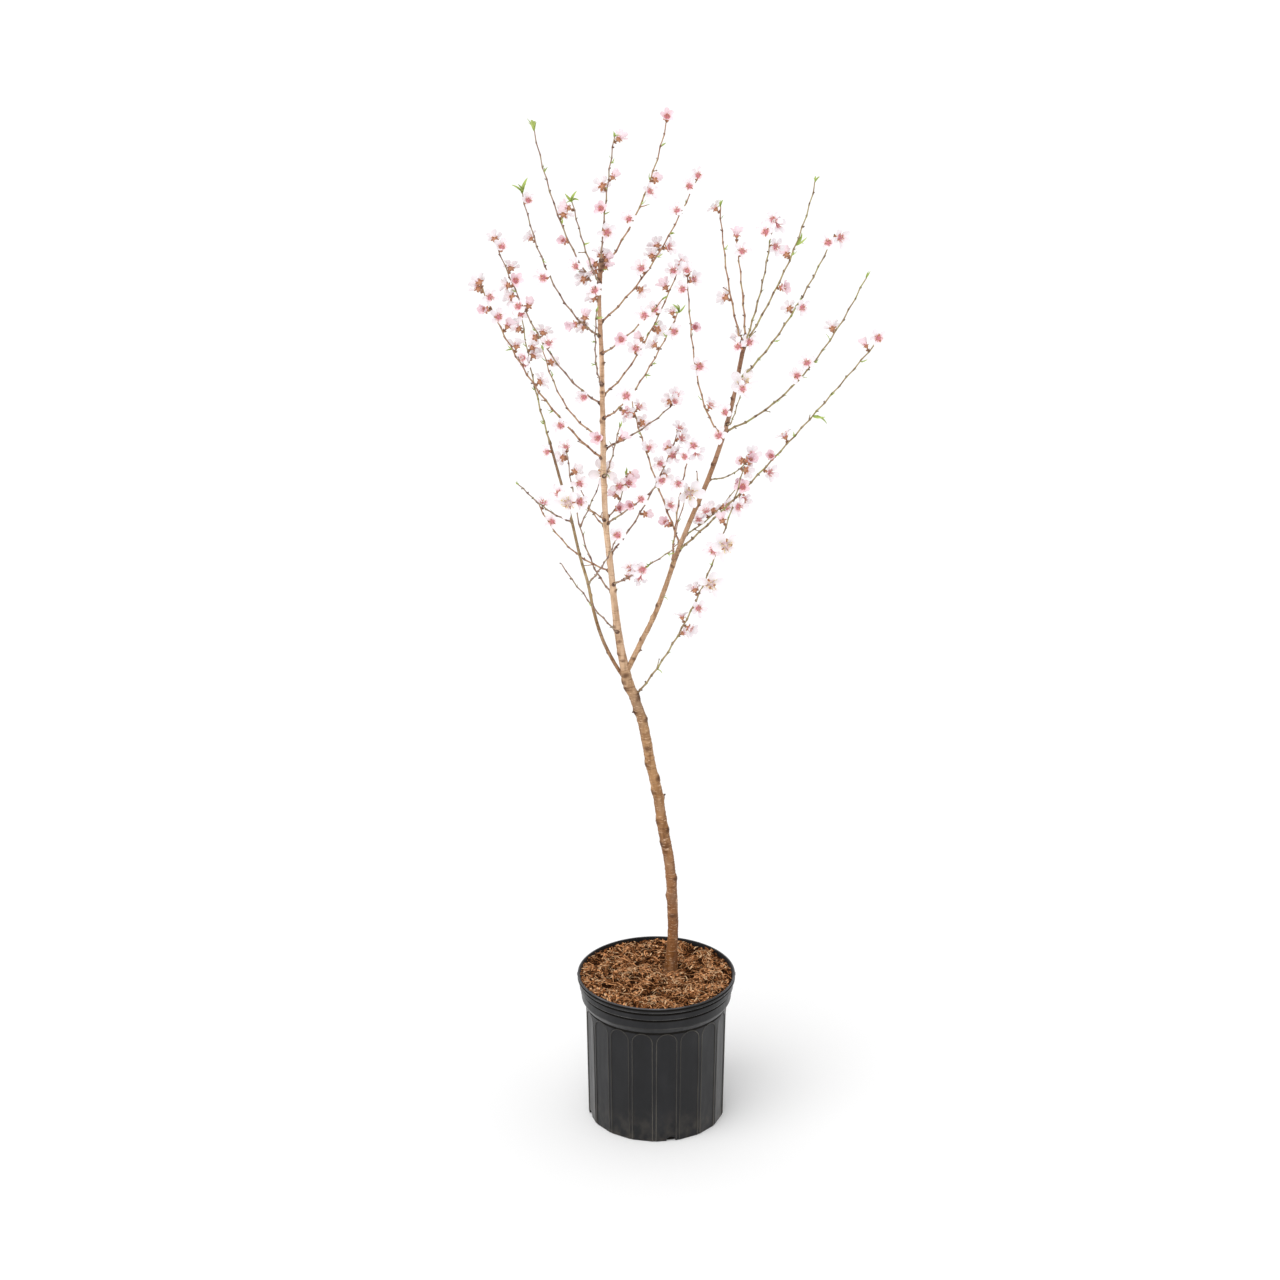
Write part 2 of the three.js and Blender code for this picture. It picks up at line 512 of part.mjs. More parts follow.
const tree = new THREE.Group();
const { shell, inside } = pot();
tree.add(node('pot', shell, BLACK_PLASTIC));
tree.add(node('soil', soil(inside, TRUNK.curve.getPoint(0)), BARK_MIX));
tree.add(node('trunk', joined(TRUNK.pieces), TRUNK_BARK));
tree.add(node('leader', joined(LEADER.pieces), BOUGH_BARK));
tree.add(node('right_bough', joined(RIGHT_BOUGH.pieces), BOUGH_BARK));
tree.add(node('left_bough', joined(LEFT_BOUGH.pieces), BOUGH_BARK));
for (const mass of masses) tree.add(node(mass.name, largestBody(joined(mass.pieces)), TWIG_AND_BLOSSOM));

export default tree;
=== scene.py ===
import json
import math

import bpy
import numpy as np
from mathutils import Matrix, Vector

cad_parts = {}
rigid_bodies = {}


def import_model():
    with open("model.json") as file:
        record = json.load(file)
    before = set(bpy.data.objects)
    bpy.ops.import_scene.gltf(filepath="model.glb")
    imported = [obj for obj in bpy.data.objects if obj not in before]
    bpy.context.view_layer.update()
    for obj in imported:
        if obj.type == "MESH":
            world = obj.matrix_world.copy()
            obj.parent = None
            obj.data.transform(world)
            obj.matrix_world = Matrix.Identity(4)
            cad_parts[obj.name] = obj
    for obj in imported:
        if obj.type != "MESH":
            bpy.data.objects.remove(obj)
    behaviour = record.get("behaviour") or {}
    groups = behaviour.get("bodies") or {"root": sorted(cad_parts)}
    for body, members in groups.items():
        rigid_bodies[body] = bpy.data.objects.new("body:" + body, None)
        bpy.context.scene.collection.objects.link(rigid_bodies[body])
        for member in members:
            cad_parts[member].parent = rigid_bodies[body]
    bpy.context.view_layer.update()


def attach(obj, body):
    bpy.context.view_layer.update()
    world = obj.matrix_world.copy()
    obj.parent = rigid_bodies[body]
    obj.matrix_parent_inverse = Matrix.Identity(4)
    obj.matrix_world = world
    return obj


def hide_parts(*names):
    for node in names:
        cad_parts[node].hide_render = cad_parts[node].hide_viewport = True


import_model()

mm = 0.001

# ---- camera --------------------------------------------------------------------------------------------
# The plant stands about 3.4 m away from a long lens, which looks down on it by 22 degrees. Sizes are in
# metres for the camera and the floor, and in millimetres for the pot and the tree.
LOOKING_DOWN = 21.9
SENSOR_WIDTH = 36
LENS = 92.8125
CAMERA_PLACE = (-0.01771, -3.18986, 1.83866)
camera_data = bpy.data.cameras.new("camera")
camera_data.sensor_width = SENSOR_WIDTH
camera_data.lens = LENS
camera = bpy.data.objects.new("camera", camera_data)
camera.location = CAMERA_PLACE
camera.rotation_euler = (math.radians(90 - LOOKING_DOWN), 0, 0)
bpy.context.scene.collection.objects.link(camera)
bpy.context.scene.camera = camera

# ---- floor and light -----------------------------------------------------------------------------------
# A wide white floor that rises in a long even sweep all round, under an even white sky, with one large
# soft lamp far off to the front and left. None of it is part of the plant.


def finish(name, colour, roughness, constants=None):
    """A finish of one colour. Further constants go on the shader's own sockets."""
    material = bpy.data.materials.new(name)
    material.use_nodes = True
    shader = material.node_tree.nodes["Principled BSDF"]
    shader.inputs["Base Color"].default_value = (*colour, 1)
    shader.inputs["Roughness"].default_value = roughness
    for socket, value in (constants or {}).items():
        shader.inputs[socket].default_value = value
    return material


def piece(name, mesh):
    """A mesh as an object of the scene, at the origin."""
    mesh.name = name
    obj = bpy.data.objects.new(name, mesh)
    bpy.context.scene.collection.objects.link(obj)
    return obj


FLOOR_DROP = 0.0004
INNER_RING = 5
LEVEL_REACH = 28
SWEEP_RADIUS = 50
SWEEP_RINGS = 12
FIRST_RISE = 0.06
FLOOR_SIDES = 96
sweep = [(INNER_RING, 0), (LEVEL_REACH, 0)]
sweep += [
    (LEVEL_REACH + SWEEP_RADIUS * math.sin(rise), SWEEP_RADIUS - SWEEP_RADIUS * math.cos(rise))
    for rise in np.linspace(FIRST_RISE, math.pi / 4, SWEEP_RINGS)
]
# The floor lies a hair under the pot's foot, so that the two don't share a plane.
floor_places = [(0, 0, -FLOOR_DROP)]
floor_faces = []
for i, (radius, height) in enumerate(sweep):
    for j in range(FLOOR_SIDES):
        turn = 2 * math.pi * j / FLOOR_SIDES
        after = (j + 1) % FLOOR_SIDES
        floor_places.append((radius * math.cos(turn), radius * math.sin(turn), height - FLOOR_DROP))
        low, high = 1 + (i - 1) * FLOOR_SIDES, 1 + i * FLOOR_SIDES
        ring_face = (high + j, high + after, low + after, low + j)
        floor_faces.append(ring_face if i else (0, 1 + j, 1 + after))
floor_mesh = bpy.data.meshes.new("floor")
floor_mesh.from_pydata(floor_places, [], floor_faces)
floor_mesh.shade_smooth()
floor_mesh.materials.append(finish("white floor", (0.95, 0.95, 0.95), 0.9))
piece("floor", floor_mesh)

SKY_STRENGTH = 0.76
LAMP_STRENGTH = 1.45
LAMP_SPREAD = math.radians(60)
LAMP_SHINES = Vector((0.6, 0.8, -1.25))
sky = bpy.data.worlds.new("white sky")
sky.use_nodes = True
background = sky.node_tree.nodes["Background"]
background.inputs["Color"].default_value = (1, 1, 1, 1)
background.inputs["Strength"].default_value = SKY_STRENGTH
bpy.context.scene.world = sky
bpy.context.scene.view_settings.view_transform = "Standard"

lamp = bpy.data.lights.new("soft lamp", "SUN")
lamp.energy = LAMP_STRENGTH
lamp.angle = LAMP_SPREAD
lamp_object = bpy.data.objects.new("soft lamp", lamp)
lamp_object.rotation_euler = LAMP_SHINES.to_track_quat("-Z", "Y").to_euler()
bpy.context.scene.collection.objects.link(lamp_object)

# ---- pot -----------------------------------------------------------------------------------------------
# A nursery pot, blow-moulded in thin black polyethylene. It has a rolled rim, two stiffening bands, a wall
# of eighteen flat arch-headed flutes, and four drain notches at the foot. The grooves of the bands and the
# roll, the crease where the wall meets the ledge, and the drain notches are painted dark as shade; the
# edges of the bands and the roll, and the lip, are worn and painted lighter as highlight.
RIM = 85.5
POT_HEIGHT = 168
FOOT = 74.2
FOOT_EDGE = FOOT - 0.9
WALL_TOP_RADIUS = 76.5
WALL_TOP = 133
FLOOR_THICKNESS = 3
LOWER_BAND = RIM - 4.2
LOWER_BAND_HEIGHTS = (141, 151)
UPPER_BAND = RIM - 2
UPPER_BAND_HEIGHTS = (153.2, 160)
ROLL_HEIGHT = 162.2
FLUTES = 18
FLUTE_HALF = 11
FLUTE_TOP = 132.3
FLUTE_SPRING = FLUTE_TOP - FLUTE_HALF
FLUTE_SINK = 0.35
FLUTE_EDGE = 0.45
FIRST_FLUTE = math.radians(8.3)
FLUTE_PITCH = 2 * math.pi / FLUTES
GROOVE_DEPTH = 0.4
GROOVE_WIDTH = 1.1
DRAINS = 4
DRAIN_HALF = 5
DRAIN_HEIGHT = 5
FIRST_DRAIN = math.radians(12.5)
COLUMNS = 720


def smooth(low, high, value):
    """From 0 at low to 1 at high, eased at both ends."""
    t = np.clip((value - low) / (high - low), 0, 1)
    return t * t * (3 - 2 * t)


def rounded(corners):
    """A profile of [radius, height, rounding] corners, rounded off but never past the middle of a side."""
    line = [corners[0][:2]]
    for before, here, after in zip(corners, corners[1:], corners[2:]):
        middle = np.array(here[:2], float)
        ends = []
        for other in (before, after):
            way = np.array(other[:2], float) - middle
            ends.append(middle + way * min(here[2] / np.hypot(*way), 0.48))
        for t in (0, 0.33, 0.67, 1) if here[2] else (0.5,):
            corner = (1 - t) ** 2 * ends[0] + 2 * t * (1 - t) * middle + t * t * ends[1]
            line.append(tuple(corner if here[2] else middle))
    return line + [corners[-1][:2]]


def wall_radius(height):
    """The plain cone that the wall follows."""
    return FOOT + (WALL_TOP_RADIUS - FOOT) * height / WALL_TOP


def fluted(turn, radius, height):
    """The wall's radius with its flutes and the grooves between them, turn radians right of the front."""
    phi = (turn - FIRST_FLUTE + FLUTE_PITCH / 2) % FLUTE_PITCH - FLUTE_PITCH / 2
    aside = wall_radius(height) * np.sin(phi)
    inside = FLUTE_HALF - np.hypot(aside, np.maximum(height - FLUTE_SPRING, 0))
    flat = FOOT * math.sqrt(1 - (FLUTE_HALF / FOOT) ** 2) - FLUTE_SINK
    flat = flat + (WALL_TOP_RADIUS - FOOT) * height / WALL_TOP
    share = smooth(-FLUTE_EDGE, FLUTE_EDGE, inside)
    to_groove = wall_radius(height) * (FLUTE_PITCH / 2 - np.abs(phi))
    groove = GROOVE_DEPTH * np.exp(-((to_groove / GROOVE_WIDTH) ** 2))
    groove = groove * (1 - smooth(FLUTE_SPRING - 6, FLUTE_SPRING + 3, height))
    return (radius - groove) * (1 - share) + flat / np.cos(phi) * share


def band(radius, heights):
    """The corners of a stiffening band, flat between its rounded edges."""
    low, high = heights
    return [(radius, low, 0.8), (radius, low + 1, 0), (radius, high - 1.2, 0), (radius, high, 0.6)]


def turned(name, profile, columns, shape=None):
    """A body turned from a profile that starts and ends on the axis. shape changes its outer radius."""
    turn = np.arange(columns) * 2 * math.pi / columns
    rows = profile[1:-1]
    places = [(0, 0, profile[0][1])]
    for radius, height in rows:
        radii = np.full(columns, float(radius)) if shape is None else shape(turn, radius, height)
        places += list(zip(radii * np.sin(turn), -radii * np.cos(turn), np.full(columns, float(height))))
    places.append((0, 0, profile[-1][1]))
    top = len(places) - 1
    last = top - columns
    faces = []
    for j in range(columns):
        after = (j + 1) % columns
        faces.append((0, 1 + after, 1 + j))
        for low in range(1, last, columns):
            high = low + columns
            faces.append((low + j, low + after, high + after, high + j))
        faces.append((last + j, last + after, top))
    mesh = bpy.data.meshes.new(name)
    mesh.from_pydata([Vector(place) * mm for place in places], [], faces)
    mesh.shade_smooth()
    return mesh


# The whole skin in one line: under the foot, up the outside, over the lip, and down the inside.
skin = rounded([
    (0, 0, 0), (FOOT - 2, 0, 0), (FOOT, 0, 0.8), (WALL_TOP_RADIUS, WALL_TOP, 1.2),
    (WALL_TOP_RADIUS + 1.48, 135.4, 0), (RIM - 5, 139.5, 1.4),
    *band(LOWER_BAND, LOWER_BAND_HEIGHTS), (RIM - 5.4, 152, 0.4),
    *band(UPPER_BAND, UPPER_BAND_HEIGHTS), (RIM - 3.2, 161, 0.4),
    (RIM, ROLL_HEIGHT, 0.9), (RIM, ROLL_HEIGHT + 1, 0), (RIM, 164.7, 0), (RIM, 165.6, 0.2),
    (RIM - 0.7, 166, 0.3), (RIM - 0.1, 166.5, 0.2), (RIM - 0.1, POT_HEIGHT, 0.7),
    (RIM - 1.9, POT_HEIGHT, 0.7),
    (RIM - 3.8, 160, 2), (RIM - 7.6, 141, 2), (WALL_TOP_RADIUS - 3, WALL_TOP, 2),
    (FOOT - 3.2, FLOOR_THICKNESS, 2), (0, FLOOR_THICKNESS, 0),
])
# The wall's rows stand far apart where the flutes are straight, and close where they arch.
wall_heights = [*np.arange(5, 117, 14), *np.arange(118.5, 131.8, 0.95)]
foot_row = next(i for i, (radius, height) in enumerate(skin) if height > 0.5)
profile = skin[:foot_row + 1] + [(wall_radius(z), z) for z in wall_heights] + skin[foot_row + 1:]


def pot_shape(turn, radius, height):
    """The pot's radius at a height all round: fluted on the outside of the wall, and plain elsewhere."""
    on_wall = radius > FOOT_EDGE and height < WALL_TOP + 1 and radius > wall_radius(height) - 1.5
    if not on_wall:
        return np.full(len(turn), float(radius))
    return fluted(turn, radius, height)


pot = piece("pot_shell", turned("pot shell", profile, COLUMNS, pot_shape))

# The drain notches are cut through the wall by one body of four arch-headed prisms.
CUT_FROM = FOOT - 3.6
CUT_TO = FOOT + 9
arch = [(-DRAIN_HALF, -1), (DRAIN_HALF, -1)]
arch += [(DRAIN_HALF * math.cos(a), DRAIN_HEIGHT * math.sin(a)) for a in np.linspace(0, math.pi, 13)]
count = len(arch)
notch_places, notch_faces = [], []
for index in range(DRAINS):
    turn = FIRST_DRAIN + index * 2 * math.pi / DRAINS
    outwards = Vector((math.sin(turn), -math.cos(turn), 0))
    sideways = Vector((math.cos(turn), math.sin(turn), 0))
    first = len(notch_places)
    for reach in (CUT_FROM, CUT_TO):
        notch_places += [(outwards * reach + sideways * x + Vector((0, 0, z))) * mm for x, z in arch]
    notch_faces.append([first + i for i in range(count)][::-1])
    notch_faces.append([first + count + i for i in range(count)])
    for i in range(count):
        after = (i + 1) % count
        notch_faces.append((first + i, first + after, first + count + after, first + count + i))
notch_mesh = bpy.data.meshes.new("drain notches")
notch_mesh.from_pydata(notch_places, [], notch_faces)
notches = piece("drain notches", notch_mesh)
cut = pot.modifiers.new("drain notches", "BOOLEAN")
cut.object = notches
cut.operation = "DIFFERENCE"
cut.solver = "MANIFOLD"


def settled(obj):
    """The object's mesh with its modifiers applied, on the same object."""
    evaluated = obj.evaluated_get(bpy.context.evaluated_depsgraph_get())
    mesh = bpy.data.meshes.new_from_object(evaluated)
    obj.modifiers.clear()
    obj.data = mesh
    return obj


settled(pot)
bpy.data.objects.remove(notches)


def pattern(material, size, stretch=(1, 1, 1), detail=4):
    """A noise in the piece's own coordinates, with patches of about that size in millimetres."""
    nodes, links = material.node_tree.nodes, material.node_tree.links
    place = nodes.new("ShaderNodeTexCoord")
    scaled = nodes.new("ShaderNodeMapping")
    scaled.inputs["Scale"].default_value = stretch
    noise = nodes.new("ShaderNodeTexNoise")
    noise.inputs["Scale"].default_value = 1 / (size * mm)
    noise.inputs["Detail"].default_value = detail
    links.new(place.outputs["Object"], scaled.inputs["Vector"])
    links.new(scaled.outputs["Vector"], noise.inputs["Vector"])
    return noise.outputs["Fac"]


def shades(material, value, stops):
    """Colours dealt out by a pattern's value, from [value, colour] stops."""
    ramp = material.node_tree.nodes.new("ShaderNodeValToRGB")
    elements = ramp.color_ramp.elements
    while len(elements) < len(stops):
        elements.new(0.5)
    for element, (place, colour) in zip(elements, stops):
        element.position = place
        element.color = (*colour, 1)
    material.node_tree.links.new(value, ramp.inputs["Fac"])
    return ramp.outputs["Color"]


def blended(material, share, first, second, how="MIX"):
    """Two colours mixed by a share from 0 to 1."""
    mix = material.node_tree.nodes.new("ShaderNodeMix")
    mix.data_type = "RGBA"
    mix.blend_type = how
    links = material.node_tree.links
    links.new(share, mix.inputs["Factor"])
    for socket, colour in ((mix.inputs[6], first), (mix.inputs[7], second)):
        if isinstance(colour, bpy.types.NodeSocket):
            links.new(colour, socket)
        else:
            socket.default_value = (*colour, 1)
    return mix.outputs[2]


def ranged(material, value, from_low, from_high, to_low, to_high):
    """A value stretched from one range to another, and held at its ends."""
    node = material.node_tree.nodes.new("ShaderNodeMapRange")
    for socket, number in zip(list(node.inputs)[1:5], (from_low, from_high, to_low, to_high)):
        socket.default_value = number
    material.node_tree.links.new(value, node.inputs["Value"])
    return node.outputs["Result"]


def wear(material, socket, value):
    """Feeds one of the finish's own sockets from a pattern."""
    material.node_tree.links.new(value, material.node_tree.nodes["Principled BSDF"].inputs[socket])


def dented(material, value, depth, strength=1.0):
    """Fine relief from a pattern, depth in millimetres."""
    bump = material.node_tree.nodes.new("ShaderNodeBump")
    bump.inputs["Distance"].default_value = depth * mm
    bump.inputs["Strength"].default_value = strength
    material.node_tree.links.new(value, bump.inputs["Height"])
    wear(material, "Normal", bump.outputs["Normal"])


def height_in(material):
    """The height on the piece, in metres."""
    nodes, links = material.node_tree.nodes, material.node_tree.links
    split = nodes.new("ShaderNodeSeparateXYZ")
    links.new(nodes.new("ShaderNodeTexCoord").outputs["Object"], split.inputs["Vector"])
    return split.outputs["Z"]


SPLASHED_FROM = 42
SPLASHED_TO = 2
SPLASHED_SOIL = (0.05, 0.043, 0.035)


def plastic(name, darkest, middle, palest):
    """Black polyethylene, a little scuffed and dusty, and splashed with soil towards the foot."""
    material = finish(name, middle, 0.42, {
        "Specular IOR Level": 0.31, "Sheen Weight": 0.22, "Sheen Roughness": 0.35,
    })
    dust = pattern(material, 22, (1, 1, 0.45), 6)
    ground = shades(material, dust, [(0.35, darkest), (0.55, middle), (0.75, palest)])
    low = ranged(material, height_in(material), SPLASHED_TO * mm, SPLASHED_FROM * mm, 0.75, 0)
    splashes = ranged(material, pattern(material, 9, (1, 1, 0.7), 6), 0.42, 0.66, 0, 1)
    both = material.node_tree.nodes.new("ShaderNodeMath")
    both.operation = "MULTIPLY"
    material.node_tree.links.new(low, both.inputs[0])
    material.node_tree.links.new(splashes, both.inputs[1])
    wear(material, "Base Color", blended(material, both.outputs[0], ground, SPLASHED_SOIL))
    scuffs = pattern(material, 5, (1, 1, 0.12), 5)
    wear(material, "Roughness", ranged(material, scuffs, 0.3, 0.7, 0.32, 0.5))
    dented(material, pattern(material, 1.6, (1, 1, 0.5), 3), 0.05)
    return material


black_plastic = plastic(
    "black polyethylene", (0.002, 0.002, 0.003), (0.0045, 0.0046, 0.006), (0.012, 0.012, 0.0135),
)
# The edges of the bands and the roll: worn, and painted lighter as a highlight.
worn_highlit_plastic = plastic("worn edges, painted highlight", (0.004, 0.004, 0.004), (0.022, 0.021, 0.02), (0.07, 0.068, 0.064))
# The lip's top: scuffed, and painted lighter as a highlight along its edge.
lip_highlight_plastic = plastic("scuffed lip, painted highlight", (0.02, 0.019, 0.02), (0.06, 0.057, 0.06), (0.15, 0.142, 0.15))
# Painted shade: a near-black matte finish for the grooves of the bands and the roll, the crease where the
# wall meets the ledge, and the drain notches.
groove_shade = finish("painted shade in the grooves", (0.009, 0.008, 0.007), 0.9, {"Specular IOR Level": 0.08})
# Heights on the outside, from and to: where shade is painted dark, and where the bands' and the roll's edges
# are worn and painted lighter as highlight.
SHADED_GROOVES = [(132, 135.3), (149.8, 153.1), (158.8, 162), (164.7, 166.6)]
HIGHLIT_WORN_EDGES = [(140.8, 142), (153.1, 154.2), (162, 163.2)]
LIP = (POT_HEIGHT - 0.75, POT_HEIGHT - 0.02)
SHADED, WORN_HIGHLIT, SCUFFED_HIGHLIT = 1, 2, 3
pot.data.materials.clear()
for material in (black_plastic, groove_shade, worn_highlit_plastic, lip_highlight_plastic):
    pot.data.materials.append(material)
for face in pot.data.polygons:
    height = face.center.z / mm
    reach = math.hypot(face.center.x, face.center.y) / mm
    on_outside = reach > wall_radius(height) - 0.4
    if on_outside and any(low < height < high for low, high in SHADED_GROOVES):
        face.material_index = SHADED
    elif on_outside and any(low < height < high for low, high in HIGHLIT_WORN_EDGES):
        face.material_index = WORN_HIGHLIT
    elif LIP[0] < height < LIP[1] and reach > RIM - 1.5:
        face.material_index = SCUFFED_HIGHLIT
    # The drain notches' cut faces take the painted shade too, dark as the shadow inside them.
    elif 0 < height < DRAIN_HEIGHT + 0.05 and CUT_FROM - 0.1 < reach < FOOT - 1.4:
        turn = math.atan2(face.center.x, -face.center.y) - FIRST_DRAIN
        from_drain = abs((turn + math.pi / DRAINS) % (2 * math.pi / DRAINS) - math.pi / DRAINS) * FOOT
        if from_drain < DRAIN_HALF + 0.3:
            face.material_index = SHADED
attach(pot, "root")
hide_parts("pot")

# ---- flute outlines and parting lines ------------------------------------------------------------------
# The mould leaves a fine raised bead round each flute's arched head, and a parting line down both sides of
# the pot where its halves met, which ends in a nub on the rim.


class Recipe:
    """A Geometry Nodes tree, written down step by step, with named inputs."""

    def __init__(self, name, inputs):
        self.tree = bpy.data.node_groups.new(name, "GeometryNodeTree")
        self.tree.interface.new_socket("Geometry", in_out="OUTPUT", socket_type="NodeSocketGeometry")
        self.tree.interface.new_socket("Geometry", in_out="INPUT", socket_type="NodeSocketGeometry")
        for label, kind in inputs.items():
            self.tree.interface.new_socket(label, in_out="INPUT", socket_type="NodeSocket" + kind)
        self.start = self.tree.nodes.new("NodeGroupInput")
        self.end = self.tree.nodes.new("NodeGroupOutput")

    def given(self, label):
        return self.start.outputs[label]

    def do(self, kind, feeds=None, settings=None, out=0):
        """One step: feeds go to its sockets, settings on the node. It gives the socket that comes out."""
        node = self.tree.nodes.new(kind)
        for setting, value in (settings or {}).items():
            setattr(node, setting, value)
        for socket, value in (feeds or {}).items():
            if isinstance(value, bpy.types.NodeSocket):
                self.tree.links.new(value, node.inputs[socket])
            else:
                node.inputs[socket].default_value = value
        return node.outputs[out]

    def attribute(self, name, kind="FLOAT"):
        return self.do("GeometryNodeInputNamedAttribute", {"Name": name}, {"data_type": kind})

    def maths(self, operation, first, second=0.0):
        return self.do("ShaderNodeMath", {0: first, 1: second}, {"operation": operation})

    def scaled(self, vector, by):
        return self.do("ShaderNodeVectorMath", {0: vector, 1: by}, {"operation": "MULTIPLY"})

    def tube(self):
        """A closed tube along the source's lines, as thick as each point says."""
        return self.do("GeometryNodeCurveToMesh", {
            "Curve": self.do("GeometryNodeMeshToCurve", {"Mesh": self.given("Geometry")}),
            "Profile Curve": self.do("GeometryNodeCurvePrimitiveCircle", {
                "Resolution": self.given("Sides"), "Radius": 1.0,
            }),
            "Scale": self.attribute("thickness"),
            "Fill Caps": True,
        })

    def finished(self, geometry, smoothly=True, bands=()):
        """The last steps: real geometry, shading, its material, and an input's material for each band."""
        done = self.do("GeometryNodeRealizeInstances", {"Geometry": geometry})
        done = self.do("GeometryNodeSetShadeSmooth", {"Geometry": done, "Shade Smooth": smoothly})
        done = self.do("GeometryNodeSetMaterial", {"Geometry": done, "Material": self.given("Material")})
        for number, label in enumerate(bands):
            in_band = self.do("FunctionNodeCompare", {
                2: self.attribute("band", "INT"), 3: number,
            }, {"data_type": "INT", "operation": "EQUAL"})
            done = self.do("GeometryNodeSetMaterial", {
                "Geometry": done, "Selection": in_band, "Material": self.given(label),
            })
        self.tree.links.new(done, self.end.inputs["Geometry"])

    def make(self, name, source, values):
        """The plain mesh that the tree makes of a source object, which is used up."""
        modifier = source.modifiers.new("recipe", "NODES")
        modifier.node_group = self.tree
        for item in self.tree.interface.items_tree:
            if item.in_out == "INPUT" and item.name in values:
                modifier[item.identifier] = values[item.name]
        mesh = settled(source).data
        bpy.data.objects.remove(source)
        return piece(name, mesh)


ATTRIBUTE_FIELDS = {"FLOAT": "value", "INT": "value", "FLOAT_VECTOR": "vector"}


def marked_points(name, places, edges=(), **attributes):
    """Bare points, in millimetres, or lines between them, with values on each point."""
    mesh = bpy.data.meshes.new(name)
    mesh.from_pydata([Vector(place) * mm for place in places], list(edges), [])
    for label, (kind, values) in attributes.items():
        layer = mesh.attributes.new(label, kind, "POINT")
        numbers = np.array(values, int if kind == "INT" else float)
        layer.data.foreach_set(ATTRIBUTE_FIELDS[kind], numbers.ravel())
    return piece(name, mesh)


def lines(name, paths):
    """Open lines from [points, thicknesses, joints] in millimetres; joints, from 0 to 1, may be left out."""
    places, edges, thicknesses, joints = [], [], [], []
    for path, thickness, *joint in paths:
        first = len(places)
        places += [tuple(place) for place in path]
        edges += [(first + i, first + i + 1) for i in range(len(path) - 1)]
        thicknesses += [value * mm for value in thickness]
        joints += joint[0] if joint else [0] * len(path)
    return marked_points(name, places, edges, thickness=("FLOAT", thicknesses), joint=("FLOAT", joints))


bead = Recipe("beads in a ring", {"Copies": "Int", "Sides": "Int", "Material": "Material"})
bead_turn = bead.maths("DIVIDE", 2 * math.pi, bead.given("Copies"))
bead_turns = bead.maths("MULTIPLY", bead.do("GeometryNodeInputIndex"), bead_turn)
bead_ring = bead.do("GeometryNodeInstanceOnPoints", {
    "Points": bead.do("GeometryNodePoints", {"Count": bead.given("Copies")}),
    "Instance": bead.tube(),
    "Rotation": bead.do("FunctionNodeEulerToRotation", {
        "Euler": bead.do("ShaderNodeCombineXYZ", {"Z": bead_turns}),
    }),
})
bead.finished(bead_ring)

# The beads are paler than the wall: dust, and a painted highlight along the raised lines.
bead_dust_and_highlight = plastic("dusty beads, painted highlight", (0.02, 0.018, 0.015), (0.05, 0.045, 0.036), (0.1, 0.09, 0.07))
BEAD = 0.44
BEAD_SUNK = 0.15
BEAD_SIDES = 6
straight = (1, 25, 50, 75, 100)
arch_line = [(-FLUTE_HALF, z) for z in straight]
arch_line += [
    (-FLUTE_HALF * math.cos(a), FLUTE_SPRING + FLUTE_HALF * math.sin(a)) for a in np.linspace(0, math.pi, 17)
]
arch_line += [(FLUTE_HALF, z) for z in reversed(straight)]
arch_path = []
for x, z in arch_line:
    radius = wall_radius(z) - BEAD_SUNK
    turn = FIRST_FLUTE + math.asin(x / radius)
    arch_path.append((radius * math.sin(turn), -radius * math.cos(turn), z))
outlines = bead.make(
    "pot_flute_outlines",
    lines("flute outline", [(arch_path, [BEAD] * len(arch_path))]),
    {"Copies": FLUTES, "Sides": BEAD_SIDES, "Material": bead_dust_and_highlight},
)
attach(outlines, "root")

# The parting line follows the pot's outside from the foot to the rim, at its right and its left.
PARTING = 0.32
PARTING_NUB = 0.9
NUB_HEIGHT = POT_HEIGHT - 4
parting_path = []
for radius, height in profile:
    if radius < FOOT_EDGE or parting_path and height < parting_path[-1][2]:
        continue
    if height > POT_HEIGHT - 0.5:
        break
    reach = float(fluted(np.array([math.pi / 2]), radius, height)[0]) if height < WALL_TOP + 1 else radius
    parting_path.append((min(reach, RIM - 0.3), 0, height))
parting_sizes = [PARTING_NUB if height > NUB_HEIGHT else PARTING for x, y, height in parting_path]
parting = bead.make(
    "pot_parting_lines",
    lines("parting line", [(parting_path, parting_sizes)]),
    {"Copies": 2, "Sides": BEAD_SIDES, "Material": black_plastic},
)
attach(parting, "root")

# ---- bark mix ------------------------------------------------------------------------------------------
# The pot is filled with a dark bed of moist fines, lumpy, and hollowed a little round the trunk. On it lies
# a loose matted layer of shredded bark: crumbs, splinters and curled fibres, from dark brown to pale tan. The
# dark pieces crowd into the hollows and the pale ones onto the lumps, which paints shade into the hollows.
SOIL_EDGE = 82.2
SOIL_TOP = 164.2
SOIL_DIP = 0.4
BED_RINGS = 56
BED_COLUMNS = 180
LUMP_SIZE = 17
LUMP_HEIGHT = 10
TRUNK_FOOT = (15.8, 18.6)
HOLLOW_DEPTH = 4
HOLLOW_REACH = 26
# The bed stands a little clear of the pot's floor and wall, and its top has rings enough to be lumpy.
bed_profile = [
    (0, FLOOR_THICKNESS + 0.4), (FOOT - 3.8, FLOOR_THICKNESS + 0.4), (WALL_TOP_RADIUS - 3.5, WALL_TOP),
    (RIM - 8.2, 141), (RIM - 4.6, 159),
]
bed_profile += [
    (SOIL_EDGE * part, SOIL_TOP - SOIL_DIP * (1 - part * part)) for part in np.linspace(1, 0, BED_RINGS)
]

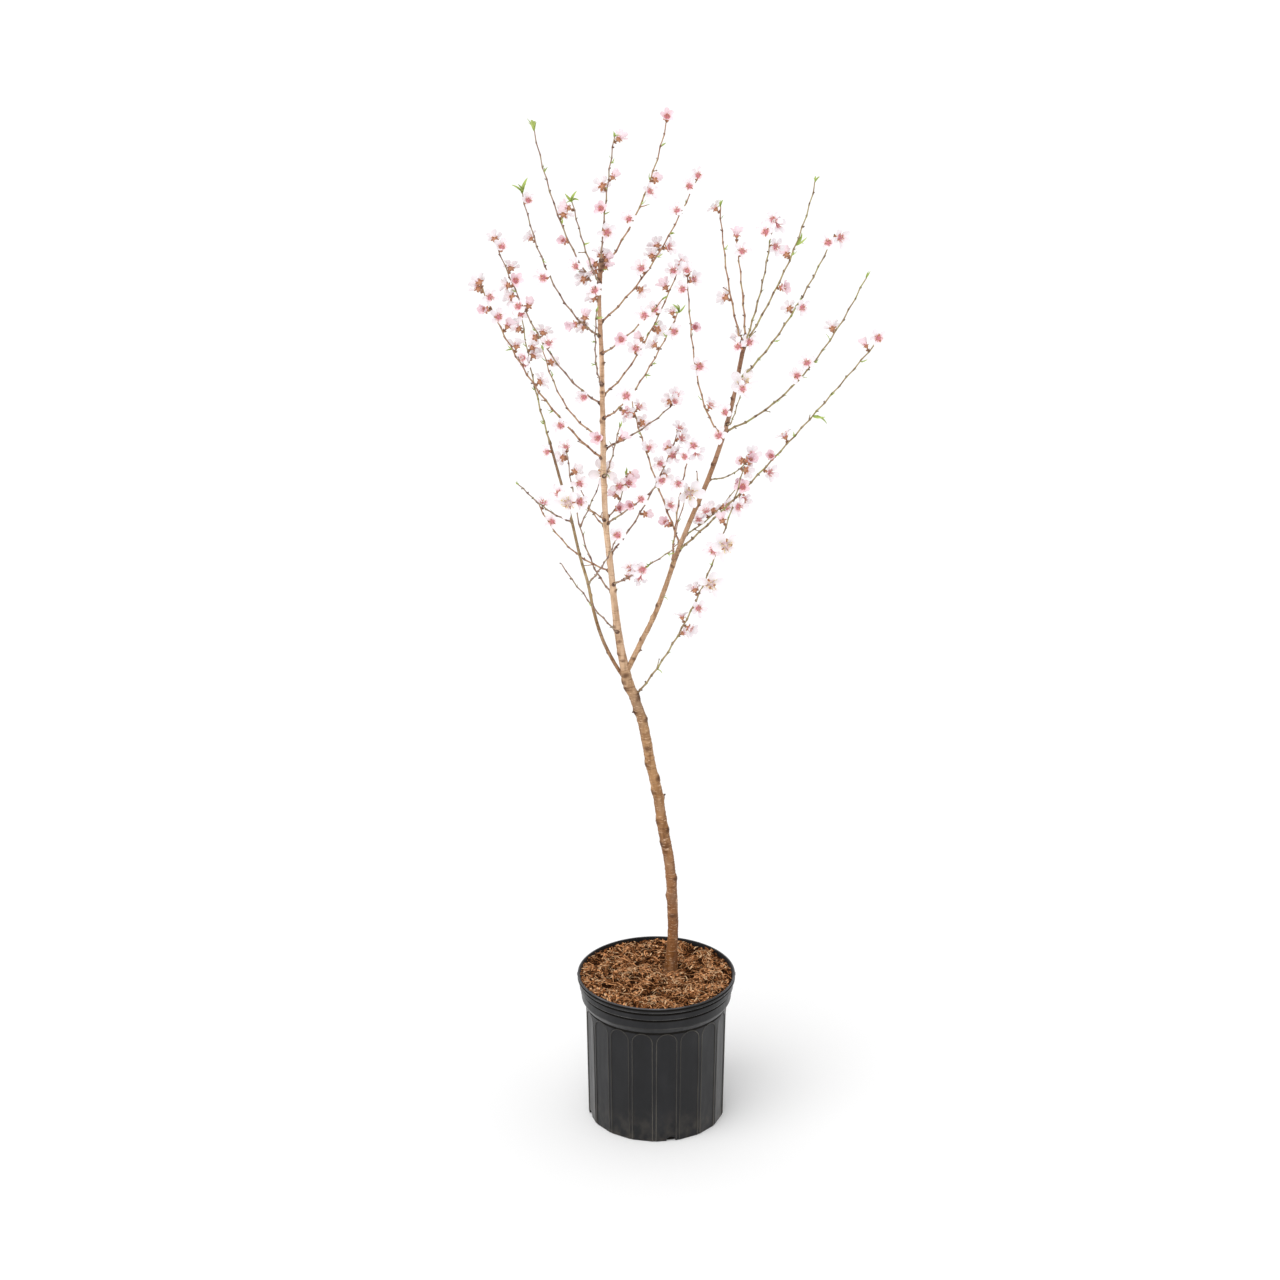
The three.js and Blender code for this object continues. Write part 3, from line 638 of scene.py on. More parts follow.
bed = Recipe("lumpy bed", {
    "Lump Size": "Float", "Lump Height": "Float", "Top": "Float", "Trunk": "Vector", "Hollow Depth": "Float",
    "Hollow Reach": "Float", "Material": "Material",
})
bed_place = bed.do("GeometryNodeInputPosition")
bed_height = bed.do("ShaderNodeSeparateXYZ", {"Vector": bed_place}, out=2)
bed_top = bed.maths("GREATER_THAN", bed_height, bed.given("Top"))
bed_scale = bed.maths("DIVIDE", 1.0, bed.given("Lump Size"))
bed_lumps = bed.do("ShaderNodeTexNoise", {
    "Vector": bed.scaled(bed_place, (1, 1, 0)), "Scale": bed_scale, "Detail": 4.0,
})
bed_rise = bed.maths("MULTIPLY", bed.maths("SUBTRACT", bed_lumps, 0.5), bed.given("Lump Height"))
bed_from_trunk = bed.do("ShaderNodeVectorMath", {
    0: bed.scaled(bed_place, (1, 1, 0)), 1: bed.given("Trunk"),
}, {"operation": "DISTANCE"}, out="Value")
bed_hollow = bed.do("ShaderNodeMapRange", {
    "Value": bed_from_trunk, "From Min": bed.maths("MULTIPLY", bed.given("Hollow Reach"), 0.3),
    "From Max": bed.given("Hollow Reach"), "To Min": bed.given("Hollow Depth"), "To Max": 0.0,
}, {"interpolation_type": "SMOOTHSTEP"})
bed_rise = bed.maths("SUBTRACT", bed_rise, bed_hollow)
bed_moved = bed.do("GeometryNodeSetPosition", {
    "Geometry": bed.given("Geometry"),
    "Selection": bed_top,
    "Offset": bed.do("ShaderNodeCombineXYZ", {"Z": bed_rise}),
})
bed.finished(bed_moved)

fines = finish("moist fines", (0.05, 0.022, 0.011), 0.95, {"Specular IOR Level": 0.05})
wear(fines, "Base Color", shades(fines, pattern(fines, 3), [
    (0.38, (0.01, 0.004, 0.0015)), (0.52, (0.04, 0.015, 0.006)), (0.7, (0.13, 0.055, 0.024)),
]))
dented(fines, pattern(fines, 1.4), 0.6)
bed_source = piece("bed", turned("bed", bed_profile, BED_COLUMNS))
bark_bed = bed.make("bark_mix_bed", bed_source, {
    "Lump Size": LUMP_SIZE * mm, "Lump Height": LUMP_HEIGHT * mm, "Top": (SOIL_TOP - 1) * mm,
    "Trunk": Vector((*TRUNK_FOOT, 0)) * mm, "Hollow Depth": HOLLOW_DEPTH * mm,
    "Hollow Reach": HOLLOW_REACH * mm, "Material": fines,
})
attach(bark_bed, "root")
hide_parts("soil")

DICE_STEP = 16807
DICE_SIDES = 2147483647


def dice(seed):
    """A repeatable stream of numbers from 0 to 1: each throw is the last one times a step, wrapped round."""
    thrown = seed * 7919 + 17

    def roll():
        nonlocal thrown
        thrown = thrown * DICE_STEP % DICE_SIDES
        return thrown / DICE_SIDES

    return roll


def unit(way):
    """The same direction, of length 1."""
    return way / np.linalg.norm(way)


def shapes(name, meshes):
    """A collection of loose shapes for a recipe to pick from; it isn't part of the scene itself."""
    collection = bpy.data.collections.new(name)
    for index, mesh in enumerate(meshes):
        collection.objects.link(bpy.data.objects.new(f"{name} {index:02d}", mesh))
    return collection


def forget(collection):
    """Takes loose shapes away once they have been used."""
    for obj in list(collection.objects):
        bpy.data.objects.remove(obj)
    bpy.data.collections.remove(collection)


def splinter(roll, length, width, height):
    """A torn strip of bark, four-sided and bent a little, with ragged narrow ends."""
    rows = 4
    bend = (roll() - 0.5) * 0.5 * length
    places, faces = [], []
    for i in range(rows):
        t = i / (rows - 1)
        x = (t - 0.5) * length
        at_end = i in (0, rows - 1)
        half = width / 2 * (0.35 if at_end else 0.8 + 0.4 * roll())
        thick = height / 2 * (0.5 if at_end else 0.8 + 0.4 * roll())
        side = bend * (4 * (t - 0.5) ** 2) + (roll() - 0.5) * 0.2 * width
        places += [(x, side - half, 0), (x, side, thick), (x, side + half, 0), (x, side, -thick)]
    for i in range(rows - 1):
        for j in range(4):
            after = (j + 1) % 4
            low = i * 4
            faces.append((low + j, low + after, low + 4 + after, low + 4 + j))
    faces.append((3, 2, 1, 0))
    last = (rows - 1) * 4
    faces.append((last, last + 1, last + 2, last + 3))
    mesh = bpy.data.meshes.new("splinter")
    mesh.from_pydata([Vector(place) * mm for place in places], [], [face[::-1] for face in faces])
    return mesh


def thread(roll, length, radius):
    """A curled bark fibre, three-sided, which arches up from the bed in its middle."""
    steps = 6
    curl = (roll() - 0.5) * 5
    lift = (0.3 + 0.7 * roll()) * 0.24 * length
    heading, place = roll() * 0.6, np.zeros(3)
    path = []
    for i in range(steps + 1):
        t = i / steps
        path.append(place + np.array([0, 0, lift * math.sin(math.pi * t) ** 2]))
        heading += curl / steps + (roll() - 0.5) * 0.5
        place = place + np.array([math.cos(heading), math.sin(heading), 0]) * length / steps
    middle = path[steps // 2] * np.array([1, 1, 0])
    path = [point - middle for point in path]
    places, faces = [], []
    for i, point in enumerate(path):
        size = radius * (0.45 if i in (0, steps) else 1)
        along = unit(path[min(i + 1, steps)] - path[max(i - 1, 0)])
        side = unit(np.cross(along, (0, 0, 1)))
        up = np.cross(side, along)
        for a in (0.5, 2.6, 4.7):
            places.append(point + (side * math.cos(a) + up * math.sin(a)) * size)
    for i in range(steps):
        for j in range(3):
            after = (j + 1) % 3
            faces.append((i * 3 + j, i * 3 + after, i * 3 + 3 + after, i * 3 + 3 + j))
    faces.append((2, 1, 0))
    faces.append((steps * 3, steps * 3 + 1, steps * 3 + 2))
    mesh = bpy.data.meshes.new("thread")
    mesh.from_pydata([Vector(tuple(place)) * mm for place in places], [], faces)
    return mesh


scatter = Recipe("scattered on top", {
    "Shapes": "Collection", "Number per m2": "Float", "Seed": "Int", "Top": "Float", "Reach": "Float",
    "Lump Size": "Float", "In Hollows": "Float", "On Lumps": "Float", "Lift": "Float", "Tilt": "Float",
    "Smallest": "Float", "Largest": "Float", "Material": "Material",
})
# Where the bed's noise is below the first value the place is a hollow, and above the second it is a lump.
HOLLOW_BELOW = 0.44
LUMP_ABOVE = 0.56
scatter_place = scatter.do("GeometryNodeInputPosition")
scatter_height = scatter.do("ShaderNodeSeparateXYZ", {"Vector": scatter_place}, out=2)
scatter_flat = scatter.scaled(scatter_place, (1, 1, 0))
scatter_out = scatter.do("ShaderNodeVectorMath", {0: scatter_flat}, {"operation": "LENGTH"}, out="Value")
scatter_lumps = scatter.do("ShaderNodeTexNoise", {
    "Vector": scatter_flat, "Scale": scatter.maths("DIVIDE", 1.0, scatter.given("Lump Size")), "Detail": 4.0,
})
scatter_share = scatter.do("ShaderNodeMapRange", {
    "Value": scatter_lumps, "From Min": HOLLOW_BELOW, "From Max": LUMP_ABOVE,
    "To Min": scatter.given("In Hollows"), "To Max": scatter.given("On Lumps"),
})
scatter_points = scatter.do("GeometryNodeDistributePointsOnFaces", {
    "Mesh": scatter.given("Geometry"),
    "Selection": scatter.maths(
        "MULTIPLY",
        scatter.maths("GREATER_THAN", scatter_height, scatter.given("Top")),
        scatter.maths("LESS_THAN", scatter_out, scatter.given("Reach")),
    ),
    "Density": scatter.maths("MULTIPLY", scatter.given("Number per m2"), scatter_share),
    "Seed": scatter.given("Seed"),
})
scatter_back = scatter.maths("MULTIPLY", scatter.given("Tilt"), -1.0)
scatter_low = scatter.do("ShaderNodeCombineXYZ", {"X": scatter_back, "Y": scatter_back, "Z": 0.0})
scatter_high = scatter.do("ShaderNodeCombineXYZ", {
    "X": scatter.given("Tilt"), "Y": scatter.given("Tilt"), "Z": 2 * math.pi,
})
scatter_turn = scatter.do("FunctionNodeRandomValue", {
    "Min": scatter_low, "Max": scatter_high, "Seed": scatter.maths("ADD", scatter.given("Seed"), 1.0),
}, {"data_type": "FLOAT_VECTOR"})
scatter_size = scatter.do("FunctionNodeRandomValue", {
    2: scatter.given("Smallest"), 3: scatter.given("Largest"),
    "Seed": scatter.maths("ADD", scatter.given("Seed"), 2.0),
}, out=1)
scatter_kinds = scatter.do("GeometryNodeCollectionInfo", {
    "Collection": scatter.given("Shapes"), "Separate Children": True, "Reset Children": True,
})
scatter_lifted = scatter.do("GeometryNodeSetPosition", {
    "Geometry": scatter_points,
    "Offset": scatter.do("ShaderNodeCombineXYZ", {"Z": scatter.given("Lift")}),
})
scatter_pieces = scatter.do("GeometryNodeInstanceOnPoints", {
    "Points": scatter_lifted,
    "Instance": scatter_kinds,
    "Pick Instance": True,
    "Rotation": scatter.do("FunctionNodeEulerToRotation", {"Euler": scatter_turn}),
    "Scale": scatter_size,
})
scatter.finished(scatter_pieces, False)

bark_roll = dice(41)
BARK_SHAPES = {
    "crumbs": shapes("crumbs", [
        splinter(bark_roll, 1.8 + 1.8 * bark_roll(), 1.0 + 0.9 * bark_roll(), 0.9 + 0.7 * bark_roll())
        for _ in range(7)
    ]),
    "splinters": shapes("splinters", [
        splinter(bark_roll, 4.5 + 5 * bark_roll(), 1.4 + 1.4 * bark_roll(), 0.7 + 0.7 * bark_roll())
        for _ in range(9)
    ]),
    "threads": shapes("threads", [
        thread(bark_roll, 8 + 9 * bark_roll(), 0.24 + 0.16 * bark_roll()) for _ in range(9)
    ]),
}
BARK_BROWNS = {
    "dark": (0.04, 0.014, 0.005),
    "mid": (0.235, 0.092, 0.033),
    "warm": (0.56, 0.27, 0.12),
    "light": (0.94, 0.61, 0.35),
}
# Shapes, brown, number in a square metre, reach from the middle, share in the hollows and on the lumps, lift
# off the bed, most tilt in radians, and the smallest and largest size. The dark pieces' large share in the
# hollows is painted shade.
LITTER = [
    ("crumbs", "dark", 60000, 82.2, 2.0, 0.2, 0.2, 0.6, 0.6, 1.2),
    ("crumbs", "mid", 84000, 82.4, 0.5, 1.3, 0.6, 0.6, 0.6, 1.3),
    ("crumbs", "warm", 36000, 82.4, 0.1, 1.8, 0.9, 0.6, 0.5, 1.2),
    ("splinters", "dark", 34000, 80.5, 2.0, 0.15, 0.3, 0.4, 0.6, 1.2),
    ("splinters", "mid", 46000, 80.5, 0.4, 1.4, 0.9, 0.6, 0.55, 1.25),
    ("splinters", "warm", 34000, 80.5, 0.08, 1.9, 1.4, 0.6, 0.5, 1.15),
    ("splinters", "light", 21000, 80.5, 0.04, 2.3, 2.0, 0.5, 0.3, 0.85),
    ("threads", "dark", 9000, 76, 1.4, 0.5, 1.0, 0.35, 0.8, 1.5),
    ("threads", "mid", 11000, 76, 0.6, 1.2, 1.2, 0.35, 0.8, 1.6),
    ("threads", "warm", 12000, 76, 0.3, 1.6, 1.6, 0.35, 0.8, 1.6),
    ("threads", "light", 6500, 76, 0.1, 1.9, 2.2, 0.35, 0.6, 1.3),
]
for index, row in enumerate(LITTER):
    kind, brown, number, reach, hollows, lumps, lift, tilt, smallest, largest = row
    colour = BARK_BROWNS[brown]
    tone = finish(f"bark litter, {brown} {index}", colour, 0.9, {"Specular IOR Level": 0.02})
    palest = min(1.5, 0.95 / max(colour))
    wear(tone, "Base Color", shades(tone, pattern(tone, 2.4), [
        (0.36, tuple(value * 0.42 for value in colour)), (0.64, tuple(value * palest for value in colour)),
    ]))
    source = piece("litter source", bark_bed.data.copy())
    litter = scatter.make(f"bark_{kind}_{brown}", source, {
        "Shapes": BARK_SHAPES[kind], "Number per m2": float(number), "Seed": 11 + 7 * index,
        "Top": (SOIL_TOP - 4) * mm, "Reach": reach * mm, "Lump Size": LUMP_SIZE * mm,
        "In Hollows": hollows, "On Lumps": lumps, "Lift": lift * mm, "Tilt": tilt,
        "Smallest": smallest, "Largest": largest, "Material": tone,
    })
    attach(litter, "root")
for collection in BARK_SHAPES.values():
    forget(collection)

# ---- trunk and boughs ----------------------------------------------------------------------------------
# A thin young trunk that leans left and forks at half height into the leader and one bough to the right,
# with a slim low bough to the left. The bark is tan-brown and smooth, with small cross-wise lenticels, and
# swells at old buds, scars and wherever a shoot leaves.

# Stations of [x, y, height, radius], from the foot up.
TRUNK = [
    (15.8, 18.6, 158, 7.6), (16.7, 17.8, 178, 6.1), (18, 16.8, 212, 5.7), (17.2, 15.5, 245, 5.6),
    (14.5, 14, 287, 5.6), (6.5, 12, 338, 5.6), (1, 11, 376, 5.4), (-6.5, 9.2, 412, 5.3),
    (-14.5, 7.6, 458, 5.2), (-22, 6.5, 484, 5.2), (-30, 5.5, 506, 5.4), (-33.5, 5, 521, 5),
]
LEADER = [
    (-33.6, 5, 521.5, 4.7), (-39.5, 4, 556, 4.1), (-44, 3.5, 594, 3.5), (-48, 2.7, 637, 3.1),
    (-52.5, 1.9, 680, 3), (-54.8, 0.7, 738, 2.9), (-55.5, -0.5, 800, 2.6), (-56.5, -2, 868, 2.3),
    (-58.5, -3.2, 926, 1.9), (-56.5, -4, 963, 2.3),
]
RIGHT_BOUGH = [
    (-31.5, 5, 519, 3), (-16.7, 1.7, 553, 2.7), (-2.6, -2, 585, 2.6), (9.9, -6.2, 622, 2.5),
    (19.3, -9.7, 653, 2.5), (34.4, -14.7, 695.5, 2.4), (51.3, -20, 740, 2.4), (65.4, -25, 785, 2.3),
    (75.5, -30, 827, 2.1), (81, -34, 860, 2.1), (87, -38, 895, 2.3),
]
LEFT_BOUGH = [
    (-31, 6, 506, 2.1), (-44.4, 8.2, 527, 1.9), (-57, 11.5, 553, 1.8), (-66, 15, 583, 1.7),
    (-72, 18.5, 613, 1.6), (-79.7, 21.8, 640, 1.5), (-89, 26.6, 681, 1.5), (-100.6, 31.8, 724, 1.4),
    (-110, 36.3, 759, 1.3),
]
STEM_STEPS = 400


class Stem:
    """A limb or shoot as a curve, with places along it as shares of its length."""

    def __init__(self, place_at, radius_at):
        self.place_at = place_at
        self.radius_at = radius_at
        self.shares = np.linspace(0, 1, STEM_STEPS + 1)
        self.places = np.array([place_at(t) for t in self.shares])
        steps = np.linalg.norm(np.diff(self.places, axis=0), axis=1)
        self.lengths = np.concatenate([[0], np.cumsum(steps)])
        self.length = self.lengths[-1]

    def share(self, along):
        return float(np.interp(along * self.length, self.lengths, self.shares))

    def spot(self, along):
        """The middle line's point, the direction and the radius that far along."""
        t = self.share(along)
        low, high = max(0, t - 0.001), min(1, t + 0.001)
        return self.place_at(t), unit(self.place_at(high) - self.place_at(low)), self.radius_at(t)

    def passes(self, height):
        """How far along it first passes a height."""
        reached = self.places[-1, 2] >= height
        first = int(np.argmax(self.places[:, 2] >= height)) if reached else STEM_STEPS
        if first == 0:
            return 0.0
        low, high = self.places[first - 1, 2], self.places[first, 2]
        part = min(1, (height - low) / max(high - low, 1e-9))
        return float((self.lengths[first - 1] * (1 - part) + self.lengths[first] * part) / self.length)


def through(stations):
    """A stem through stations of [x, y, z, radius]: a Catmull-Rom curve with centripetal steps."""
    points = np.array([station[:3] for station in stations], float)
    radii = np.array([station[3] for station in stations], float)
    last = len(points) - 1
    ahead = np.vstack([2 * points[0] - points[1], points, 2 * points[last] - points[last - 1]])

    def place_at(t):
        first = min(int(t * last), last - 1)
        part = t * last - first
        p0, p1, p2, p3 = ahead[first:first + 4]
        d0, d1, d2 = (np.linalg.norm(b - a) ** 0.5 for a, b in ((p0, p1), (p1, p2), (p2, p3)))
        t1 = ((p1 - p0) / d0 - (p2 - p0) / (d0 + d1) + (p2 - p1) / d1) * d1
        t2 = ((p2 - p1) / d1 - (p3 - p1) / (d1 + d2) + (p3 - p2) / d2) * d1
        return (
            p1 + t1 * part + (-3 * p1 + 3 * p2 - 2 * t1 - t2) * part ** 2
            + (2 * p1 - 2 * p2 + t1 + t2) * part ** 3
        )

    return Stem(place_at, lambda t: float(np.interp(t * last, range(last + 1), radii)))


LIMBS = {
    "trunk": through(TRUNK),
    "leader": through(LEADER),
    "right_bough": through(RIGHT_BOUGH),
    "left_bough": through(LEFT_BOUGH),
}


def marks(text):
    """
    Marks along a limb or shoot, such as '31r 36lb 55R': percent of its length, then the side, where l is
    left, r right, f in the middle and t on the tip. A capital is a larger one, and b turns it to the back.
    """
    found = []
    for word in text.split():
        back = word.endswith("b")
        word = word.rstrip("b")
        found.append((int(word[:-1]) / 100, word[-1].lower(), word[-1].isupper(), back))
    return found


def across(tangent):
    """Two directions across a stem: first to the right, then to the back."""
    right = unit(np.array([1.0, 0, 0]) - tangent * tangent[0])
    return right, np.cross(tangent, right)


def outwards_at(tangent, side, back, roll):
    """The direction in which a mark stands out from its stem."""
    right, behind = across(tangent)
    sideways = {"l": -1, "r": 1, "f": 0, "t": 0}[side] * (0.65 + 0.25 * roll())
    lift = 0.9 if side == "t" else 0.35 + 0.3 * roll()
    facing = (0.45 if back else -0.6) - 0.25 * (roll() - 0.5)
    return unit(right * sideways + behind * facing + tangent * lift)


# A shoot leaves `on` at `height`, ends `tip` away from there, and its middle bows by a quarter of `bow`.
SHOOTS = {
    "trunk_shoot": dict(on="trunk", height=489, tip=(109, -90, 285), bow=(32, -73),
                        blossoms="31rb 36r 37lb 44r 49lb 50rb 55R 68l 71R 78lb 86r", leaves="15r 62l"),
    "leader_left_1": dict(on="leader", height=564, tip=(-57, -86, 108), bow=(40, -70)),
    "leader_left_2": dict(on="leader", height=607, tip=(-49, 92, 124), bow=(-21, -98),
                          blossoms="86rb 96lb 100t",
                          twig=dict(at=0.52, tip=(24, -14, 63), bow=(8, 10), blossoms="100T")),
    "leader_left_3": dict(on="leader", height=632, tip=(-77, 72, 48), bow=(-18, -48), blossoms="77r 95r"),
    "leader_left_4": dict(on="leader", height=681, tip=(-27, 43, 27), bow=(-6, -18), blossoms="100t"),
    "leader_left_5": dict(on="leader", height=688, tip=(-30, -36, 37), bow=(8, -8), blossoms="78lb 90r 100L"),
    "leader_left_6": dict(on="leader", height=755, tip=(-117, -75, 202), bow=(-23, -65),
                          blossoms="26l 67rb 78rb 85r 90l 95r 98lb 100tb", leaves="34l 69l"),
    "leader_left_7": dict(on="leader", height=778, tip=(-63, 95, 64), bow=(-24, -59),
                          blossoms="88rb", leaves="77r 100t"),
    "leader_left_8": dict(on="leader", height=814, tip=(-107, 42, 156), bow=(-8, -110),
                          blossoms="9l 41r 47rb 48lb 63rb 65l 71lb 77lb 78r 84rb 96r 100tb",
                          leaves="52l 74l"),
    "leader_left_9": dict(on="leader", height=886, tip=(-74, -78, 167), bow=(-28, -88),
                          blossoms="9lb 14rb 16l 51l 72lb 95r", leaves="60r 100T"),
    "leader_left_10": dict(on="leader", height=932, tip=(-65, 52, 152), bow=(-17, -63),
                           blossoms="10lb 18l 34l 48rb", leaves="45r 76r 100T"),
    "leader_left_11": dict(on="leader", height=941, tip=(-25, -90, 107), bow=(0, -37),
                           blossoms="91lb", leaves="55r 100T"),
    "leader_front": dict(on="leader", height=835, tip=(-4, -99, 106), bow=(-14, -53),
                         leaves="40l 68l 93r 100t"),
    "leader_right_1": dict(on="leader", height=617, tip=(62, -78, 68), bow=(-25, -24),
                           blossoms="21rb 41lb 42r 53l 60l", leaves="66l 92r"),
    "leader_right_2": dict(on="leader", height=649, tip=(71, 105, 98), bow=(16, -27),
                           blossoms="38rb 68rb 75l 82r 85r 87lb 95r 100t"),
    "leader_right_3": dict(on="leader", height=684, tip=(56, -83, 79), bow=(54, 24), blossoms="38l 53l 100t"),
    "leader_right_4": dict(on="leader", height=692, tip=(21, 27, 37), bow=(9, -40),
                           blossoms="28r 52lb 71l 78r 95rb", leaves="100t"),
    "leader_right_5": dict(on="leader", height=737, tip=(17, -95, 84), bow=(-9, -60),
                           blossoms="79rb", leaves="21r 100t"),
    "leader_right_6": dict(on="leader", height=765, tip=(73, 80, 27), bow=(47, 7), blossoms="91r 97lb 100t"),
    "leader_right_7": dict(on="leader", height=799, tip=(75, -101, 141), bow=(-16, -92),
                           blossoms="20r 33l 73lb 88r 96lb", leaves="53r 62r 83l 100T"),
    "leader_right_8": dict(on="leader", height=823, tip=(78, 96, 107), bow=(-2, -78),
                           blossoms="39l 48lb 58rb 68l 84lb 95l 99r 100t", leaves="52l 61r 100t"),
    "leader_right_9": dict(on="leader", height=868, tip=(61, -92, 83), bow=(-19, -40),
                           blossoms="41l 79l", leaves="66l 100t"),
    "leader_right_10": dict(on="leader", height=900, tip=(97, 71, 129), bow=(7, -65),
                            blossoms="30rb 39l 48lb 55lb 57r 78l 94l 100t", leaves="51r 66r"),
    "leader_right_11": dict(on="leader", height=954, tip=(66, 73, 134), bow=(24, -44),
                            blossoms="35l 55r 63rb 100t", leaves="48r 64l 85r 100t"),
    "leader_top": dict(on="leader", height=963, tip=(14, -55, 140), bow=(-8, -12),
                       blossoms="26r 43l 58lb 66rb 96rb", leaves="24l 40r 60l 80r 100t"),
    "left_bough_right_1": dict(on="left_bough", height=612, tip=(31, -92, 88), bow=(16, 0), blossoms="100t"),
    "left_bough_left_1": dict(on="left_bough", height=678, tip=(-51, -103, 77), bow=(1, -24), leaves="100t"),
    "left_bough_tip": dict(on="left_bough", height=759, tip=(-28, 16, 131), bow=(-16, 22),
                           blossoms="47rb 64l 67rb 69l 74rb 89lb 100t", leaves="17l 44l 78l"),
    "right_bough_left_1": dict(on="right_bough", height=641, tip=(18, -102, 166), bow=(-14, 15),
                               blossoms="63R 70l 92l 96r 100t", leaves="21l"),
    "right_bough_left_2": dict(on="right_bough", height=666, tip=(-50, 116, 118), bow=(-32, 62),
                               blossoms="13l 23r 61r 82rb 87l 91r", leaves="74l 100t"),
    "right_bough_left_3": dict(on="right_bough", height=726, tip=(-7, -36, 34), bow=(0, -26)),
    "right_bough_left_4": dict(on="right_bough", height=790, tip=(-37, 46, 152), bow=(-22, -140),
                               blossoms="19r 45r 69r 92l 97r 100t", leaves="26l"),
    "right_bough_left_5": dict(on="right_bough", height=881, tip=(-24, -5, 149), bow=(-16, 9),
                               blossoms="36lb 96lb", leaves="71r 100t"),
    "right_bough_back": dict(on="right_bough", height=652, tip=(11, 29, 56), bow=(-28, -56), leaves="100t"),
    "right_bough_top": dict(on="right_bough", height=895, tip=(-7, 88, 75), bow=(3, 8), blossoms="84r 100t"),
    "right_bough_right_1": dict(on="right_bough", height=659, tip=(197, -107, 264), bow=(-40, -81),
                                blossoms="30r 33l 42r 47l 54lb 93lb 98l", leaves="23l 48l 57l 66R 75l 89r"),
    "right_bough_right_2": dict(on="right_bough", height=677, tip=(55, 43, 38), bow=(10, -16),
                                blossoms="26l 42l 51lb 62r 100t"),
    "right_bough_right_3": dict(on="right_bough", height=740, tip=(42, 80, -5), bow=(19, -21),
                                blossoms="76rb 88r 95lb 100r"),
    "right_bough_right_4": dict(on="right_bough", height=793, tip=(145, 89, 136), bow=(19, -103),
                                blossoms="44l 51l 71lb", leaves="29r 45r 54r 67l 100t"),
    "right_bough_right_5": dict(on="right_bough", height=802, tip=(12, -65, 56), bow=(-6, -52),
                                blossoms="100t"),
    "right_bough_right_6": dict(on="right_bough", height=848, tip=(90, -64, 167), bow=(2, -62),
                                blossoms="52lb 57r 95l 100r", leaves="33r 61l"),
    "right_bough_right_7": dict(on="right_bough", height=886, tip=(72, 77, 148), bow=(40, 17),
                                blossoms="37r 55lb", leaves="57r 63R 100t"),
    "right_bough_right_8": dict(on="right_bough", height=884, tip=(24, -72, 148), bow=(16, -2),
                                blossoms="82r 92l 98r 100t"),
}
# Each limb's own marks: its old buds, which are that large, and the blossoms and leaves that it carries.
TRIMMINGS = {
    "trunk": dict(size=2.2,
                  knobs="19f 25lb 31r 38fb 43l 47r 50l 57rb 60l 64r 69l 74f 76fb 83r 86l 90r 94l 96l 98f"),
    "leader": dict(size=1.7, knobs="2f 4l 7f 11l 20r 27lb 38l 46rb 56r 62l 69f 76r 84lb 96l 98f 99r",
                   blossoms="58l 91lb 93l 97lb 98rb 99lb 100rb 100tb", leaves="20r 98r"),
    "right_bough": dict(size=1.6, knobs="4f 7r 10l 17lb 21l 33f 40lb 52r 64l 74rb 83l 98f",
                        blossoms="72l 79l 87R 97l 99lb 99r", leaves="24r"),
    "left_bough": dict(size=1.1, knobs="3f 14l 38rb 55r 71l", blossoms="80l 97l", leaves="34l"),
}

limb_recipe = Recipe("limb in bark", {
    "Sides": "Int", "Knobs": "Object", "Knob Height": "Float", "Knob Spread": "Float",
    "Relief": "Float", "Grain": "Float", "Material": "Material",
})
SCAR_WITHIN = 0.15
SCAR_ENDS = 0.75
STRANDS_STRETCH = (1, 1, 0.22)
RINGS_STRETCH = (0.6, 0.6, 2.6)
RINGS_SHARE = 0.9
limb_place = limb_recipe.do("GeometryNodeInputPosition")
limb_near = limb_recipe.do("GeometryNodeProximity", {
    0: limb_recipe.do("GeometryNodeObjectInfo", {"Object": limb_recipe.given("Knobs")}, out="Geometry"),
    "Sample Position": limb_place,
}, {"target_element": "POINTS"}, out="Distance")
limb_scarred = limb_recipe.do("GeometryNodeStoreNamedAttribute", {
    "Geometry": limb_recipe.tube(),
    "Name": "scar",
    "Value": limb_recipe.do("ShaderNodeMapRange", {
        "Value": limb_near,
        "From Min": limb_recipe.maths("MULTIPLY", limb_recipe.given("Knob Spread"), SCAR_WITHIN),
        "From Max": limb_recipe.maths("MULTIPLY", limb_recipe.given("Knob Spread"), SCAR_ENDS),
        "To Min": 1.0, "To Max": 0.0,
    }, {"interpolation_type": "SMOOTHSTEP"}),
}, {"data_type": "FLOAT", "domain": "POINT"})
limb_swell = limb_recipe.do("ShaderNodeMapRange", {
    "Value": limb_near, "From Min": 0.0, "From Max": limb_recipe.given("Knob Spread"),
    "To Min": limb_recipe.given("Knob Height"), "To Max": 0.0,
}, {"interpolation_type": "SMOOTHSTEP"})
limb_grain = limb_recipe.maths("DIVIDE", 1.0, limb_recipe.given("Grain"))
limb_strands = limb_recipe.do("ShaderNodeTexNoise", {
    "Vector": limb_recipe.scaled(limb_place, STRANDS_STRETCH), "Scale": limb_grain, "Detail": 3.0,
})
limb_rings = limb_recipe.do("ShaderNodeTexNoise", {
    "Vector": limb_recipe.scaled(limb_place, RINGS_STRETCH), "Scale": limb_grain, "Detail": 3.0,
})
limb_rough = limb_recipe.maths(
    "ADD",
    limb_recipe.maths("SUBTRACT", limb_strands, 0.5),
    limb_recipe.maths("MULTIPLY", limb_recipe.maths("SUBTRACT", limb_rings, 0.5), RINGS_SHARE),
)
limb_out = limb_recipe.maths(
    "ADD", limb_swell, limb_recipe.maths("MULTIPLY", limb_rough, limb_recipe.given("Relief"))
)
